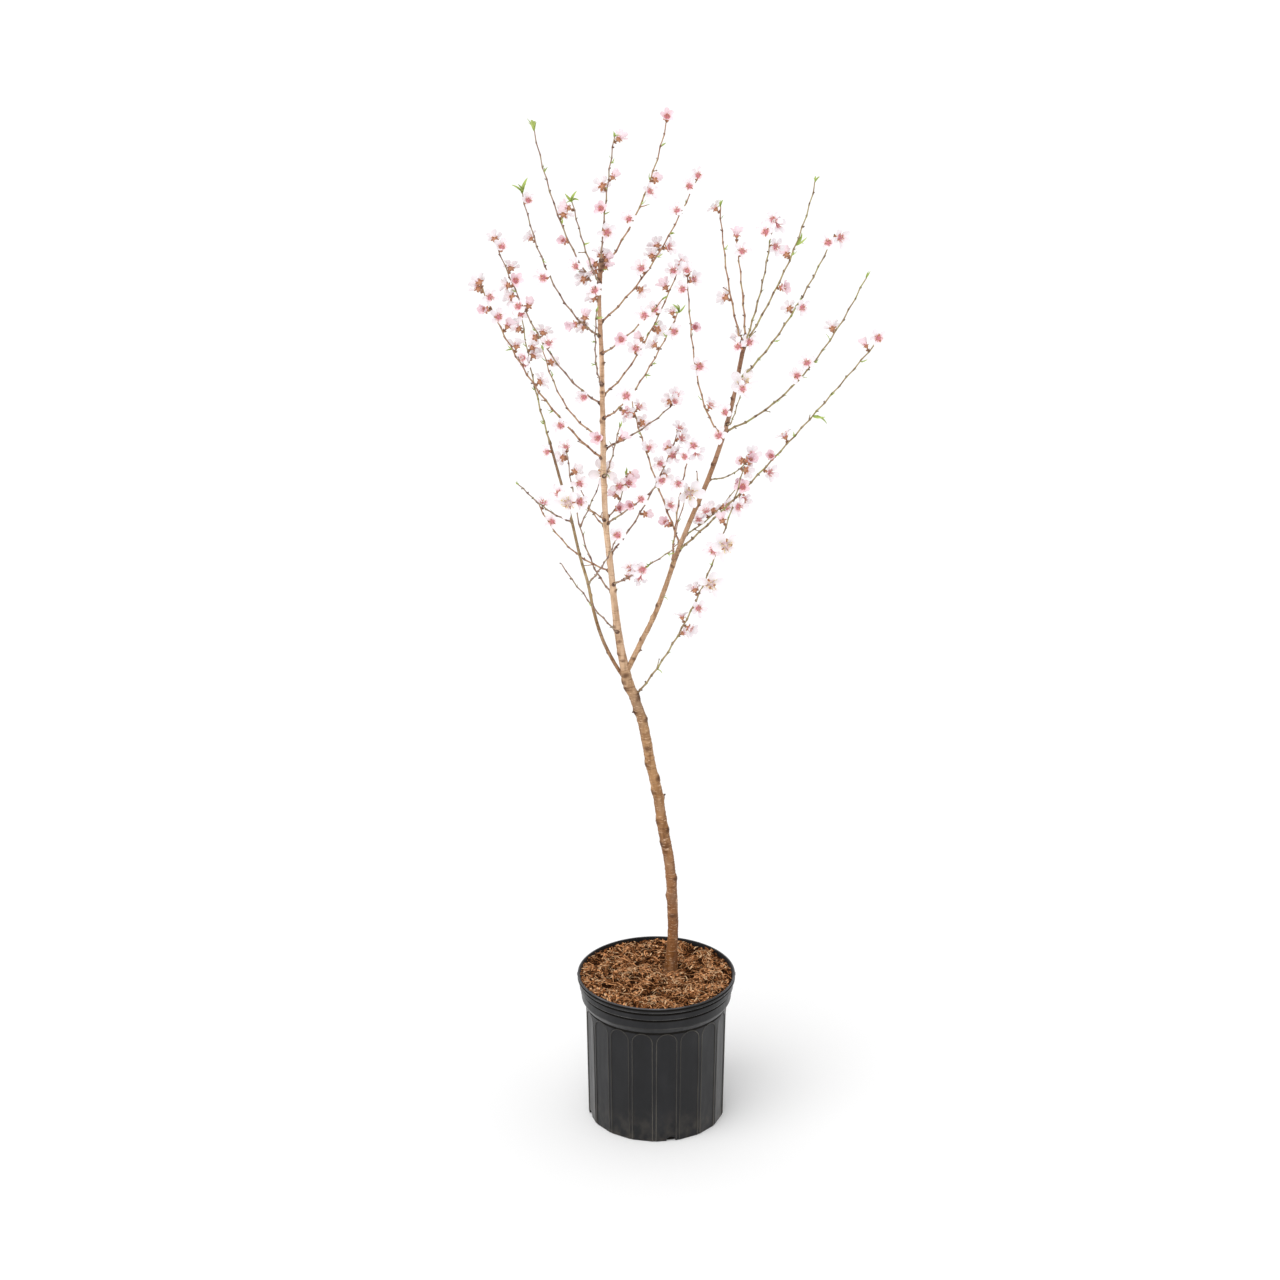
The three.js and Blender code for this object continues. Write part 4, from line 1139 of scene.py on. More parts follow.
limb_moved = limb_recipe.do("GeometryNodeSetPosition", {
    "Geometry": limb_scarred,
    "Offset": limb_recipe.scaled(
        limb_recipe.do("GeometryNodeInputNormal"),
        limb_recipe.do("ShaderNodeCombineXYZ", {"X": limb_out, "Y": limb_out, "Z": limb_out}),
    ),
})
limb_recipe.finished(limb_moved)


def knob_places(name):
    """Where a limb swells: (point on its skin, way out) of each old bud, then of each shoot's foot."""
    stem = LIMBS[name]
    knobs, feet = [], []
    for along, side, large, back in marks(TRIMMINGS[name]["knobs"]):
        point, tangent, radius = stem.spot(along)
        way = outwards_at(tangent, side, back, lambda: 0.5)
        knobs.append((point + way * radius, way))
    for row in SHOOTS.values():
        if row["on"] == name:
            point, tangent, radius = stem.spot(stem.passes(row["height"]))
            way = unit(np.array(row["tip"], float) + np.array([row["bow"][0], 0, row["bow"][1]]))
            feet.append((point + way * radius, way))
    return knobs, feet


def attribute_value(material, name):
    """A value that the piece's own points carry."""
    node = material.node_tree.nodes.new("ShaderNodeAttribute")
    node.attribute_name = name
    return node.outputs["Fac"]


# The bark's layers: dark strands, weathered patches, a faint bloom and dark rings. Each has its size in
# grains, stretch and detail, the values where it sets in and is full, its share, shade and way of mixing.
BARK_LAYERS = [
    (1, (1, 1, 0.14), 5, 0.44, 0.68, 0.8, (0.56, 0.49, 0.43), "MULTIPLY"),
    (2.3, (1, 1, 0.5), 4, 0.47, 0.62, 0.6, (0.62, 0.55, 0.5), "MULTIPLY"),
    (2.9, (0.8, 1, 0.4), 3, 0.5, 0.68, 0.09, (1, 0.86, 0.7), "SCREEN"),
    (1.6, (0.3, 0.3, 2.6), 3, 0.56, 0.64, 0.65, (0.52, 0.44, 0.38), "MULTIPLY"),
]


def bark(name, stops, grain):
    """
    Young peach bark, from [height in mm, colour] stops: the layers, pale cross-wise lenticels, and dark scar
    tissue where it swells. The dark strands are the roughest.
    """
    material = finish(name, stops[-1][1], 0.6, {"Specular IOR Level": 0.2})
    low, high = stops[0][0], stops[-1][0]
    rise = ranged(material, height_in(material), low * mm, high * mm, 0, 1)
    colour = shades(material, rise, [((height - low) / (high - low), tone) for height, tone in stops])
    patterns = [pattern(material, grain * size, stretch, detail) for size, stretch, detail, *_ in BARK_LAYERS]
    for value, (_, _, _, start, full, share, shade, how) in zip(patterns, BARK_LAYERS):
        colour = blended(material, ranged(material, value, start, full, 0, share), colour, shade, how)
    pale = tuple(min(1, value * 1.25 + 0.1) for value in stops[-1][1])
    spots = pattern(material, grain * 0.5, (0.45, 0.45, 2.6), 2)
    colour = blended(material, ranged(material, spots, 0.61, 0.68, 0, 0.7), colour, pale)
    scar = ranged(material, attribute_value(material, "scar"), 0.25, 1, 0, 0.85)
    colour = blended(material, scar, colour, (0.3, 0.23, 0.2), "MULTIPLY")
    wear(material, "Base Color", colour)
    strands = patterns[0]
    wear(material, "Roughness", ranged(material, strands, 0.3, 0.7, 0.48, 0.75))
    dented(material, pattern(material, grain * 0.45, (0.7, 0.7, 2.2), 4), 0.3)
    return material


def limb_path(stem, spacing):
    """A limb's middle line as points about `spacing` apart, with its radius at each."""
    count = round(stem.length / spacing)
    spots = [stem.spot(i / count) for i in range(count + 1)]
    return [point for point, tangent, radius in spots], [radius for point, tangent, radius in spots]


# knob and spread are how far and how wide an old bud swells the limb, relief and grain the bark's depth and
# size, and stops its colours by height.
LIMB_LOOKS = {
    "trunk": dict(slot="trunk_bark", sides=48, knob=1.6, spread=7.5, relief=1.8, grain=4.6, stops=[
        (165, (0.22, 0.086, 0.02)), (215, (0.29, 0.128, 0.05)), (290, (0.31, 0.15, 0.065)),
        (380, (0.41, 0.218, 0.095)), (455, (0.46, 0.27, 0.137)), (484, (0.36, 0.21, 0.11)),
        (512, (0.53, 0.335, 0.195)),
    ]),
    "leader": dict(slot="bough_bark", sides=32, knob=1.0, spread=5, relief=0.8, grain=3.4, stops=[
        (512, (0.53, 0.335, 0.195)), (545, (0.67, 0.45, 0.285)), (680, (0.77, 0.54, 0.36)),
        (800, (0.8, 0.55, 0.36)), (880, (0.74, 0.48, 0.31)), (945, (0.5, 0.28, 0.165)),
        (963, (0.3, 0.15, 0.085)),
    ]),
    "right_bough": dict(slot="bough_bark", sides=26, knob=0.9, spread=4.4, relief=0.65, grain=3, stops=[
        (512, (0.53, 0.335, 0.195)), (640, (0.59, 0.37, 0.215)), (700, (0.46, 0.265, 0.15)),
        (740, (0.39, 0.212, 0.115)), (785, (0.43, 0.245, 0.15)), (895, (0.34, 0.18, 0.11)),
    ]),
    "left_bough": dict(slot="bough_bark", sides=20, knob=0.6, spread=3.2, relief=0.4, grain=2.6, stops=[
        (506, (0.33, 0.17, 0.09)), (620, (0.42, 0.305, 0.155)), (690, (0.35, 0.25, 0.13)),
        (759, (0.29, 0.17, 0.105)),
    ]),
}
LIMB_STEP = 1.2
ROOT_FLARE = 1.8
ROOT_FLARE_HEIGHT = 157
ROOT_FLARE_REACH = 8
ROOT_END = (15.6, 18.8, 153)
ROOT_END_RADIUS = 9.5
BOUGH_SUNK = 3
KNOB_OUT = 0.6
COLLAR_OUT = 0.4
TRUNK_COLLAR = 0.68
COLLAR_KIND = 3
limb_knobs, limb_collars = [], []
for name, look in LIMB_LOOKS.items():
    knobs, feet = knob_places(name)
    out = look["knob"] * KNOB_OUT
    limb_knobs += [(place + way * out, way, TRIMMINGS[name]["size"]) for place, way in knobs]
    collar = look["knob"] * (TRUNK_COLLAR if name == "trunk" else 1)
    limb_collars += [(place + way * COLLAR_OUT, way, 0, collar * mm, COLLAR_KIND) for place, way in feet]
    swellings = marked_points(name + " swellings", [place for place, way in knobs + feet])
    path, sizes = limb_path(LIMBS[name], LIMB_STEP)
    if name == "trunk":
        above = [(point[2] - ROOT_FLARE_HEIGHT) / ROOT_FLARE_REACH for point in path]
        sizes = [size + ROOT_FLARE * math.exp(-(height ** 2)) for height, size in zip(above, sizes)]
        path, sizes = [np.array(ROOT_END)] + path, [ROOT_END_RADIUS] + sizes
    else:
        sunk = path[0] + unit(path[0] - path[1]) * BOUGH_SUNK
        path, sizes = [sunk] + path, [sizes[0]] + sizes
    limb = limb_recipe.make(name + "_bark", lines(name, [(path, sizes)]), {
        "Sides": look["sides"], "Knobs": swellings, "Knob Height": look["knob"] * mm,
        "Knob Spread": look["spread"] * mm, "Relief": look["relief"] * mm, "Grain": look["grain"] * mm,
        "Material": bark(name + " bark", look["stops"], look["grain"]),
    })
    bpy.data.objects.remove(swellings)
    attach(limb, "root")
    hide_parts(name)

# ---- bud scars on the limbs ----------------------------------------------------------------------------
# Old buds and cut twigs leave dark knobs, flat scars and short dry stubs on the trunk and boughs, each on
# its own swelling, and every shoot leaves through a dark wrinkled collar.
SCAR_KINDS = 3
SCAR_SUNK = 0.5
SPIN = 6


def on_their_stems(recipe):
    """Shapes stood on the source's points, each as its point's facing, spin, size and kind say."""
    turned_out = recipe.do("FunctionNodeRotateRotation", {
        "Rotation": recipe.do("FunctionNodeAlignRotationToVector", {
            "Vector": recipe.attribute("facing", "FLOAT_VECTOR"),
        }, {"axis": "Z"}),
        "Rotate By": recipe.do("FunctionNodeEulerToRotation", {
            "Euler": recipe.do("ShaderNodeCombineXYZ", {"Z": recipe.attribute("spin")}),
        }),
    }, {"rotation_space": "LOCAL"})
    return recipe.do("GeometryNodeInstanceOnPoints", {
        "Points": recipe.given("Geometry"),
        "Instance": recipe.do("GeometryNodeCollectionInfo", {
            "Collection": recipe.given("Shapes"), "Separate Children": True, "Reset Children": True,
        }),
        "Pick Instance": True,
        "Instance Index": recipe.attribute("kind", "INT"),
        "Rotation": turned_out,
        "Scale": recipe.attribute("size"),
    })


standing = Recipe("standing on their stems", {"Shapes": "Collection", "Material": "Material"})
standing.finished(on_their_stems(standing))


def stood(recipe, name, places, kinds, values):
    """Shapes stood on places of [point, facing, spin, size, kind]."""
    points, facings, spins, sizes, picks = zip(*places)
    source = marked_points(
        name + " places", points,
        facing=("FLOAT_VECTOR", facings), spin=("FLOAT", spins), size=("FLOAT", sizes), kind=("INT", picks),
    )
    return recipe.make(name, source, {"Shapes": kinds, **values})


def revolved(rows, sides, squash=1.0):
    """A small turned body from [radius, height] rows, its first and last row closed to a point."""
    places = [(0, 0, rows[0][1])]
    for radius, height in rows[1:-1]:
        for j in range(sides):
            a = 2 * math.pi * j / sides
            places.append((radius * math.cos(a), radius * math.sin(a) * squash, height))
    places.append((0, 0, rows[-1][1]))
    faces = []
    rings = len(rows) - 2
    for j in range(sides):
        after = (j + 1) % sides
        faces.append((0, 1 + after, 1 + j))
        for i in range(rings - 1):
            low = 1 + i * sides
            faces.append((low + j, low + after, low + sides + after, low + sides + j))
        low = 1 + (rings - 1) * sides
        faces.append((low + j, low + after, len(places) - 1))
    return places, faces


def simple_mesh(name, places, faces):
    """A loose shape's mesh, in the shape's own scale."""
    mesh = bpy.data.meshes.new(name)
    mesh.from_pydata([tuple(place) for place in places], [], faces)
    return mesh


scar_shapes = shapes("scars", [
    simple_mesh("knob", *revolved([(0, -0.6), (0.75, -0.2), (0.72, 0.4), (0.5, 0.85), (0, 1)], 9, 0.8)),
    simple_mesh("flat scar", *revolved([
        (0, -0.6), (0.85, -0.3), (0.8, 0.25), (0.45, 0.42), (0, 0.3),
    ], 9, 0.7)),
    simple_mesh("stub", *revolved([
        (0, -0.6), (0.6, -0.2), (0.48, 0.7), (0.4, 1.8), (0.22, 2), (0, 1.9),
    ], 8, 0.9)),
    simple_mesh("collar", *revolved([
        (0, -1.2), (2.5, -0.9), (2.6, -0.2), (2.1, 0.4), (2.2, 0.9), (1.75, 1.5), (1.2, 2.3), (0, 2.5),
    ], 10)),
])
scar_roll = dice(7)
scar_places = [
    (place - way * SCAR_SUNK, way, scar_roll() * SPIN, size * (0.7 + 0.4 * scar_roll()) * mm,
     int(scar_roll() * SCAR_KINDS))
    for place, way, size in limb_knobs
] + limb_collars
scar_bark = finish("scar bark", (0.1, 0.05, 0.03), 0.8)
wear(scar_bark, "Base Color", shades(scar_bark, pattern(scar_bark, 1.6), [
    (0.4, (0.06, 0.028, 0.017)), (0.62, (0.2, 0.105, 0.065)),
]))
dented(scar_bark, pattern(scar_bark, 0.8), 0.25)
scars = stood(standing, "bud_scars", scar_places, scar_shapes, {"Material": scar_bark})
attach(scars, "root")
forget(scar_shapes)

# ---- shoots --------------------------------------------------------------------------------------------
# Last year's shoots are whippy, about two millimetres thick and little over one at the tip. They flare
# where they leave, turn a little and swell at every bud, and carry a few short dry spurs. The bark is
# purplish grey, olive or warm brown, by the shoot, and darker at the joints.
SHOOT_RADIUS = 0.94
SHOOT_TIP_RADIUS = 0.58
SHOOT_STEP = 1.8
SHOOT_SIDES = 8
SIDE_TWIG_THICKNESS = 0.75
BUD_SPACING = 12.5
BUD_TURN = 2.4
ZIGZAG = 0.5
SWAY = 1.5
CALM_FOOT = 12
JOINT_SWELL = 0.4
JOINT_REACH = 1.6
FOOT_SWELL = 1.1
FOOT_REACH = 4.5
SPUR_SHARE = 0.1
SPURS_UP_TO = 0.7
TONES = ("grey", "olive", "warm")
TONES_ON = {
    "trunk": ("olive",), "leader": ("warm", "grey", "grey"), "right_bough": ("olive", "warm"),
    "left_bough": ("grey", "olive"),
}


def bowed(start, row):
    """A shoot's or side twig's curve from start: a parabola through its bowed middle."""
    start = np.array(start, float)
    end = start + np.array(row["tip"], float)
    middle = (start + end) / 2 + np.array([row["bow"][0], 0, row["bow"][1]]) / 2
    return lambda t: (1 - t) ** 2 * start + 2 * t * (1 - t) * middle + t * t * end


def tapering(thickness):
    """A radius by the share of the way up, for a shoot of that thickness."""
    return lambda t: (SHOOT_RADIUS + (SHOOT_TIP_RADIUS - SHOOT_RADIUS) * t) * thickness


def shoot_path(stem, roll):
    """A shoot's line, thickness and joints, zigzag and swollen at its buds, and the buds' places along it."""
    buds = max(2, round(stem.length / BUD_SPACING))
    sway = [(roll() - 0.5) * SWAY for _ in range(buds + 2)]
    count = max(6, round(stem.length / SHOOT_STEP))
    path, sizes, joints = [], [], []
    for i in range(count + 1):
        along = i / count
        point, tangent, radius = stem.spot(along)
        right, behind = across(tangent)
        below = math.floor(along * buds)
        part = along * buds - below
        lean = (1 - part) * (-1) ** below + part * (-1) ** (below + 1)
        wander = (1 - part) * sway[below] + part * sway[below + 1]
        bent = right * (ZIGZAG * lean + 0.3 * wander) + behind * wander * 0.6
        path.append(point + bent * min(1, along * stem.length / CALM_FOOT))
        nearest = round(along * buds)
        from_bud = abs(along * buds - nearest) * stem.length / buds
        joint = math.exp(-((from_bud / JOINT_REACH) ** 2)) if 0 < nearest < buds else 0
        foot = math.exp(-((along * stem.length / FOOT_REACH) ** 2))
        swell = 1 + JOINT_SWELL * joint + FOOT_SWELL * foot if i < count else 0.6
        sizes.append(radius * swell)
        joints.append(max(joint, foot))
    return path, sizes, joints, [i / buds for i in range(1, buds)]


def around(stem, number, along, roll):
    """The point and the way out of a bud, the buds winding round their stem."""
    point, tangent, radius = stem.spot(along)
    right, behind = across(tangent)
    turn = number * BUD_TURN + roll() * 0.8
    way = right * math.cos(turn) + behind * math.sin(turn)
    return point, tangent, radius, way


shoots = []
for index, (name, row) in enumerate(SHOOTS.items()):
    carrier = LIMBS[row["on"]]
    start, _, _ = carrier.spot(carrier.passes(row["height"]))
    length = math.hypot(*row["tip"])
    thickness = 1.12 if length > 200 else 1 if length > 100 else 0.85
    main = Stem(bowed(start, row), tapering(thickness))
    rows, stems = [row], [main]
    if "twig" in row:
        fork = main.spot(row["twig"]["at"])[0]
        rows.append(row["twig"])
        stems.append(Stem(bowed(fork, row["twig"]), tapering(SIDE_TWIG_THICKNESS)))
    tones = TONES_ON[row["on"]]
    shoots.append(dict(
        name=name, rows=rows, stems=stems, buds=[], spurs=[], roll=dice(index + 1), detail=dice(index + 201),
        tone=tones[int(dice(index + 401)() * len(tones))],
    ))

twig_recipe = Recipe("shoots", {"Sides": "Int", "Material": "Material"})
twig_recipe.finished(twig_recipe.tube())
# By tone, the bark's dark, its light and the green that shows through.
TWIG_COLOURS = {
    "grey": ((0.235, 0.132, 0.096), (0.385, 0.245, 0.18), (0.35, 0.29, 0.15)),
    "olive": ((0.24, 0.155, 0.08), (0.395, 0.3, 0.16), (0.36, 0.36, 0.13)),
    "warm": ((0.28, 0.132, 0.078), (0.465, 0.27, 0.165), (0.385, 0.285, 0.13)),
}


def grown(shoot):
    """The shoot's own lines, its side twig's and its spurs'. It notes where the buds and spurs' tips are."""
    roll = shoot["detail"]
    paths = []
    for stem in shoot["stems"]:
        path, sizes, joints, buds = shoot_path(stem, roll)
        paths.append((path, sizes, joints))
        shoot["buds"].append((stem, buds))
        for number, along in enumerate(buds):
            if roll() > SPUR_SHARE or along > SPURS_UP_TO:
                continue
            point, tangent, radius, way = around(stem, number, along, roll)
            length = 3 + 6 * roll()
            heading = way * 0.85 + tangent * (0.3 + 0.5 * roll())
            turned_up = tangent * length * 0.25
            spur = [point + heading * length * t + turned_up * t * t for t in (0, 0.3, 0.65, 1)]
            paths.append((spur, [0.75, 0.6, 0.5, 0.42], [1, 0.3, 0, 1]))
            shoot["spurs"].append((spur[-1], unit(heading)))
    return paths


for tone in TONES:
    of_tone = [shoot for shoot in shoots if shoot["tone"] == tone]
    paths = [path for shoot in of_tone for path in grown(shoot)]
    dark, light, green = TWIG_COLOURS[tone]
    twig_bark = finish(f"shoot bark, {tone}", dark, 0.5, {"Specular IOR Level": 0.25})
    streaks = pattern(twig_bark, 8, (1, 1, 0.5), 3)
    colour = shades(twig_bark, streaks, [(0.35, dark), (0.52, light), (0.68, green)])
    specks = ranged(twig_bark, pattern(twig_bark, 1.3, (1, 1, 0.8), 2), 0.58, 0.7, 0, 0.6)
    colour = blended(twig_bark, specks, colour, (0.5, 0.45, 0.42), "MULTIPLY")
    lenticels = ranged(twig_bark, pattern(twig_bark, 0.9, (1, 1, 1.4), 2), 0.66, 0.72, 0, 0.55)
    colour = blended(twig_bark, lenticels, colour, (0.5, 0.38, 0.28))
    at_joint = ranged(twig_bark, attribute_value(twig_bark, "joint"), 0.25, 1, 0, 0.65)
    colour = blended(twig_bark, at_joint, colour, (0.42, 0.34, 0.32), "MULTIPLY")
    wear(twig_bark, "Base Color", colour)
    dented(twig_bark, pattern(twig_bark, 0.9), 0.12)
    twigs = twig_recipe.make(f"shoots_{tone}", lines("shoots", paths), {
        "Sides": SHOOT_SIDES, "Material": twig_bark,
    })
    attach(twigs, "root")
    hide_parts(*[shoot["name"] for shoot in of_tone])

# ---- buds ----------------------------------------------------------------------------------------------
# A small pointed bud sits at every joint of a shoot, leaning up along it, and a fat one on its tip and on
# each spur. Most are closed under brown scales; here and there one shows a green leaf point.
closed_bud = revolved([(0, -0.4), (0.42, 0), (0.55, 0.45), (0.4, 1.1), (0.16, 1.6), (0, 1.85)], 6, 0.85)
fat_bud = revolved([(0, -0.4), (0.55, 0), (0.75, 0.6), (0.62, 1.2), (0.25, 1.7), (0, 1.9)], 6, 0.9)
slim_bud = revolved([(0, -0.4), (0.34, 0), (0.38, 0.8), (0.28, 1.8), (0.12, 2.7), (0, 3.2)], 5, 0.7)
long_bud = revolved([(0, -0.4), (0.32, 0), (0.42, 1.1), (0.3, 2.5), (0.12, 3.8), (0, 4.4)], 5, 0.6)
bud_shapes = shapes("buds", [simple_mesh("bud", *part) for part in (closed_bud, fat_bud, slim_bud, long_bud)])
FAT_BUD = 1
SLIM_BUD = 2
GREEN_SHARE = 0.14
GREEN_ON_SPURS = 0.35
brown_buds, green_buds = [], []
for shoot in shoots:
    roll = shoot["detail"]
    for stem, buds in shoot["buds"]:
        for number, along in enumerate(buds):
            point, tangent, radius, way = around(stem, number, along, roll)
            facing = unit(way * (0.5 + 0.4 * roll()) + tangent)
            green = roll() < GREEN_SHARE
            bud = (point + way * radius, facing, roll() * SPIN, (0.8 + 0.5 * roll()) * mm,
                   int(roll() * 2) + SLIM_BUD * green)
            (green_buds if green else brown_buds).append(bud)
        point, tangent, radius = stem.spot(1)
        brown_buds.append((point, tangent, 0, mm, FAT_BUD))
    for point, facing in shoot["spurs"]:
        green = roll() < GREEN_ON_SPURS
        kind = SLIM_BUD if green else FAT_BUD
        (green_buds if green else brown_buds).append((point, facing, 0, 0.9 * mm, kind))
for name, places, colour in (
    ("buds_brown", brown_buds, (0.145, 0.072, 0.045)), ("buds_green", green_buds, (0.27, 0.37, 0.08)),
):
    scales = finish(name.replace("_", " "), colour, 0.6)
    dented(scales, pattern(scales, 0.5), 0.08)
    buds = stood(standing, name, places, bud_shapes, {"Material": scales})
    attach(buds, "root")
forget(bud_shapes)

# ---- blossom -------------------------------------------------------------------------------------------
# Peach blossom sits close to the wood on short stalks. A red-brown calyx cup carries five pointed sepals and
# five clawed petals, near white at the tips and deep pink in the throat, round a brush of pink filaments
# with ochre anthers. The few that are wide open are larger and paler, with yellow anthers.
BLOSSOM = 10.5
OPEN_BLOSSOM = 16.5
ROOT_SUNK = 1.2
STALK_LENGTH = 0.44
FULL_TURN = 6.28
PETALS = 5
PETAL_ROWS = (0, 0.07, 0.16, 0.27, 0.38, 0.5, 0.62, 0.74, 0.85, 0.94, 1)
PETAL_COLUMNS = (-1, -0.5, 0, 0.5, 1)
PETAL_LENGTH = 0.84
PETAL_WIDEST = 0.62
CLAW_REACH = 0.18
CLAW_HEIGHT = 0.29
CLAW_HALF = 0.05
PETAL_CUP = 0.42
TIP_NOTCH = 0.05
LINED_ROWS = 4
LINING_OFF = 0.016
LINING_EDGE_OFF = 0.0015
# The bands run from throat to tip: 0 is the throat's deep pink, 4 the tip's near white. Each petal's inner
# side has its own lining near the throat.
BANDS = {
    "rosy": ((3, 3, 3, 4, 4, 4, 4, 4, 4, 4), (0, 1, 2, 3)),
    "young": ((1, 2, 2, 3, 3, 3, 3, 3, 3, 3), (0, 0, 1, 2)),
    "pale": ((3, 3, 4, 4, 4, 4, 4, 4, 4, 4), (3, 3, 4, 4)),
}


def petal(roll, turn, rise, spread, width):
    """One petal of a blossom of radius 1, and its lining: rise and spread are its slopes at claw and tip."""
    rows = []
    reach, height, before = CLAW_REACH, CLAW_HEIGHT, 0.0
    bend = (roll() - 0.5) * 0.3
    tip_curl = (roll() - 0.5) * 0.5
    ruffle = 0.03 + 0.04 * roll()
    size = PETAL_LENGTH * (0.92 + 0.16 * roll())
    for t in PETAL_ROWS:
        slope = rise + (spread - rise) * min(1, t * 1.4) + tip_curl * max(0, t - 0.6)
        reach += math.cos(slope) * (t - before) * size
        height += math.sin(slope) * (t - before) * size
        before = t
        if t < PETAL_WIDEST:
            half = CLAW_HALF + (width - CLAW_HALF) * float(smooth(-0.05, PETAL_WIDEST, t))
        else:
            half = width * math.sqrt(max(0.05, 1 - ((t - PETAL_WIDEST) / 0.39) ** 2))
        for s in PETAL_COLUMNS:
            cup = PETAL_CUP * half * s * s + ruffle * s * math.sin(6 * t + turn * 3)
            notch = TIP_NOTCH * (1 - abs(s)) if t == 1 else 0
            rows.append((reach - notch - cup * math.sin(slope), half * s + bend * t * t * 0.3,
                         height + cup * math.cos(slope), slope))
    columns = len(PETAL_COLUMNS)
    lining = []
    for index, (x, y, z, slope) in enumerate(rows[:(LINED_ROWS + 1) * columns]):
        off = LINING_OFF - (LINING_OFF - LINING_EDGE_OFF) * (index // columns) / LINED_ROWS
        lining.append((x - off * math.sin(slope), y * 0.985, z + off * math.cos(slope), slope))
    places = [
        (x * math.cos(turn) - y * math.sin(turn), x * math.sin(turn) + y * math.cos(turn), z)
        for x, y, z, slope in rows + lining
    ]
    faces = []
    for first, count in ((0, len(PETAL_ROWS) - 1), (len(rows), LINED_ROWS)):
        for i in range(count):
            for j in range(columns - 1):
                low = first + i * columns + j
                faces.append((low, low + columns, low + columns + 1, low + 1))
    return places, faces


def joined(parts):
    """Several [places, faces] parts as one."""
    places, faces = [], []
    for more_places, more_faces in parts:
        first = len(places)
        places += more_places
        faces += [tuple(first + corner for corner in face) for face in more_faces]
    return places, faces


def petals(seed, openness, bands):
    """A blossom's five petals and its heart. openness is 0 for a half-open cup and 1 for a flat star."""
    roll = dice(seed)
    parts = []
    for k in range(PETALS):
        turn = 2 * math.pi * k / PETALS + (roll() - 0.5) * 0.3
        rise = math.radians(80 - 38 * openness + 14 * (roll() - 0.5))
        spread = math.radians(74 - 66 * openness + 20 * (roll() - 0.5))
        parts.append(petal(roll, turn, rise, spread, 0.27 + 0.06 * roll()))
    heart = revolved([(0, 0.2), (0.2, 0.27), (0.19, 0.3), (0, 0.255)], 8)
    mesh = simple_mesh("petals", *joined(parts + [heart]))
    outer, inner = BANDS[bands]
    gaps = len(PETAL_COLUMNS) - 1
    one = [band for band in outer + inner for _ in range(gaps)]
    dealt = one * PETALS + [inner[0]] * (len(mesh.polygons) - PETALS * len(one))
    mesh.attributes.new("band", "INT", "FACE").data.foreach_set("value", dealt)
    return mesh


def tilted(part, lean, turn, place):
    """A part leaned from upright and then turned about the axis, and moved out to its place."""
    way = Matrix.Rotation(turn, 3, "Z")
    lay = way @ Matrix.Rotation(lean, 3, "Y")
    shift = way @ Vector(place)
    return [tuple(lay @ Vector(corner) + shift) for corner in part[0]], part[1]


def calyx(seed, long):
    """The cup and its five sepals, which are that long."""
    roll = dice(seed)
    cup = revolved([
        (0, -0.06), (0.09, -0.03), (0.17, 0.05), (0.225, 0.16), (0.245, 0.26), (0.215, 0.28), (0, 0.18),
    ], 9)
    parts = [cup]
    for k in range(PETALS):
        turn = 2 * math.pi * (k + 0.5) / PETALS + (roll() - 0.5) * 0.2
        half = 0.13 + 0.02 * roll()
        blade = [(0, -half * 0.8, 0), (0, half * 0.8, 0), (0.02, -half, 0.14), (0.05, 0, 0.13),
                 (0.02, half, 0.14), (0.03, 0, long)]
        faces = [(0, 1, 3), (0, 3, 2), (1, 4, 3), (2, 3, 5), (3, 4, 5)]
        parts.append(tilted((blade, faces), math.radians(84 + 26 * roll()), turn, (0.2, 0, 0.25)))
    return simple_mesh("calyx", *joined(parts))


def stalk(seed):
    """The short stalk and the brown bud scales that still sit round its foot."""
    roll = dice(seed)
    parts = [revolved([(0, 0), (0.085, 0.03), (0.075, 0.3), (0.095, 0.48), (0, 0.54)], 6)]
    for k in range(4):
        scale = revolved([(0, -0.03), (0.075, 0.03), (0.08, 0.12), (0, 0.26)], 4, 0.6)
        lean = math.radians(22 + 14 * roll())
        parts.append(tilted(scale, lean, 2 * math.pi * k / 4 + roll(), (0.07, 0, 0.1)))
    return simple_mesh("stalk", *joined(parts))


def brush(seed, count, length):
    """The filaments that fill the throat, and their anthers."""
    roll = dice(seed)
    rods, grains = [], []
    for k in range(count):
        turn = 2 * math.pi * k / count + roll()
        lean = math.radians(5 + 42 * roll())
        long = length * (0.7 + 0.4 * roll())
        place = (0.04 + 0.1 * roll(), 0, 0.24)
        rod = [(0.02 * math.cos(a), 0.02 * math.sin(a), z) for z in (0, long) for a in (0, 2.1, 4.2)]
        rods.append(tilted((rod, [(0, 1, 4, 3), (1, 2, 5, 4), (2, 0, 3, 5)]), lean, turn, place))
        grain = revolved([(0, long - 0.05), (0.042, long), (0.042, long + 0.05), (0, long + 0.09)], 4, 0.7)
        grains.append(tilted(grain, lean, turn, place))
    return simple_mesh("filaments", *joined(rods)), simple_mesh("anthers", *joined(grains))


blossom_recipe = Recipe("blossom on its stems", {
    "Shapes": "Collection", "Throat": "Material", "Rose": "Material", "Pink": "Material", "Blush": "Material",
    "Material": "Material",
})
blossom_recipe.finished(on_their_stems(blossom_recipe), bands=("Throat", "Rose", "Pink", "Blush"))

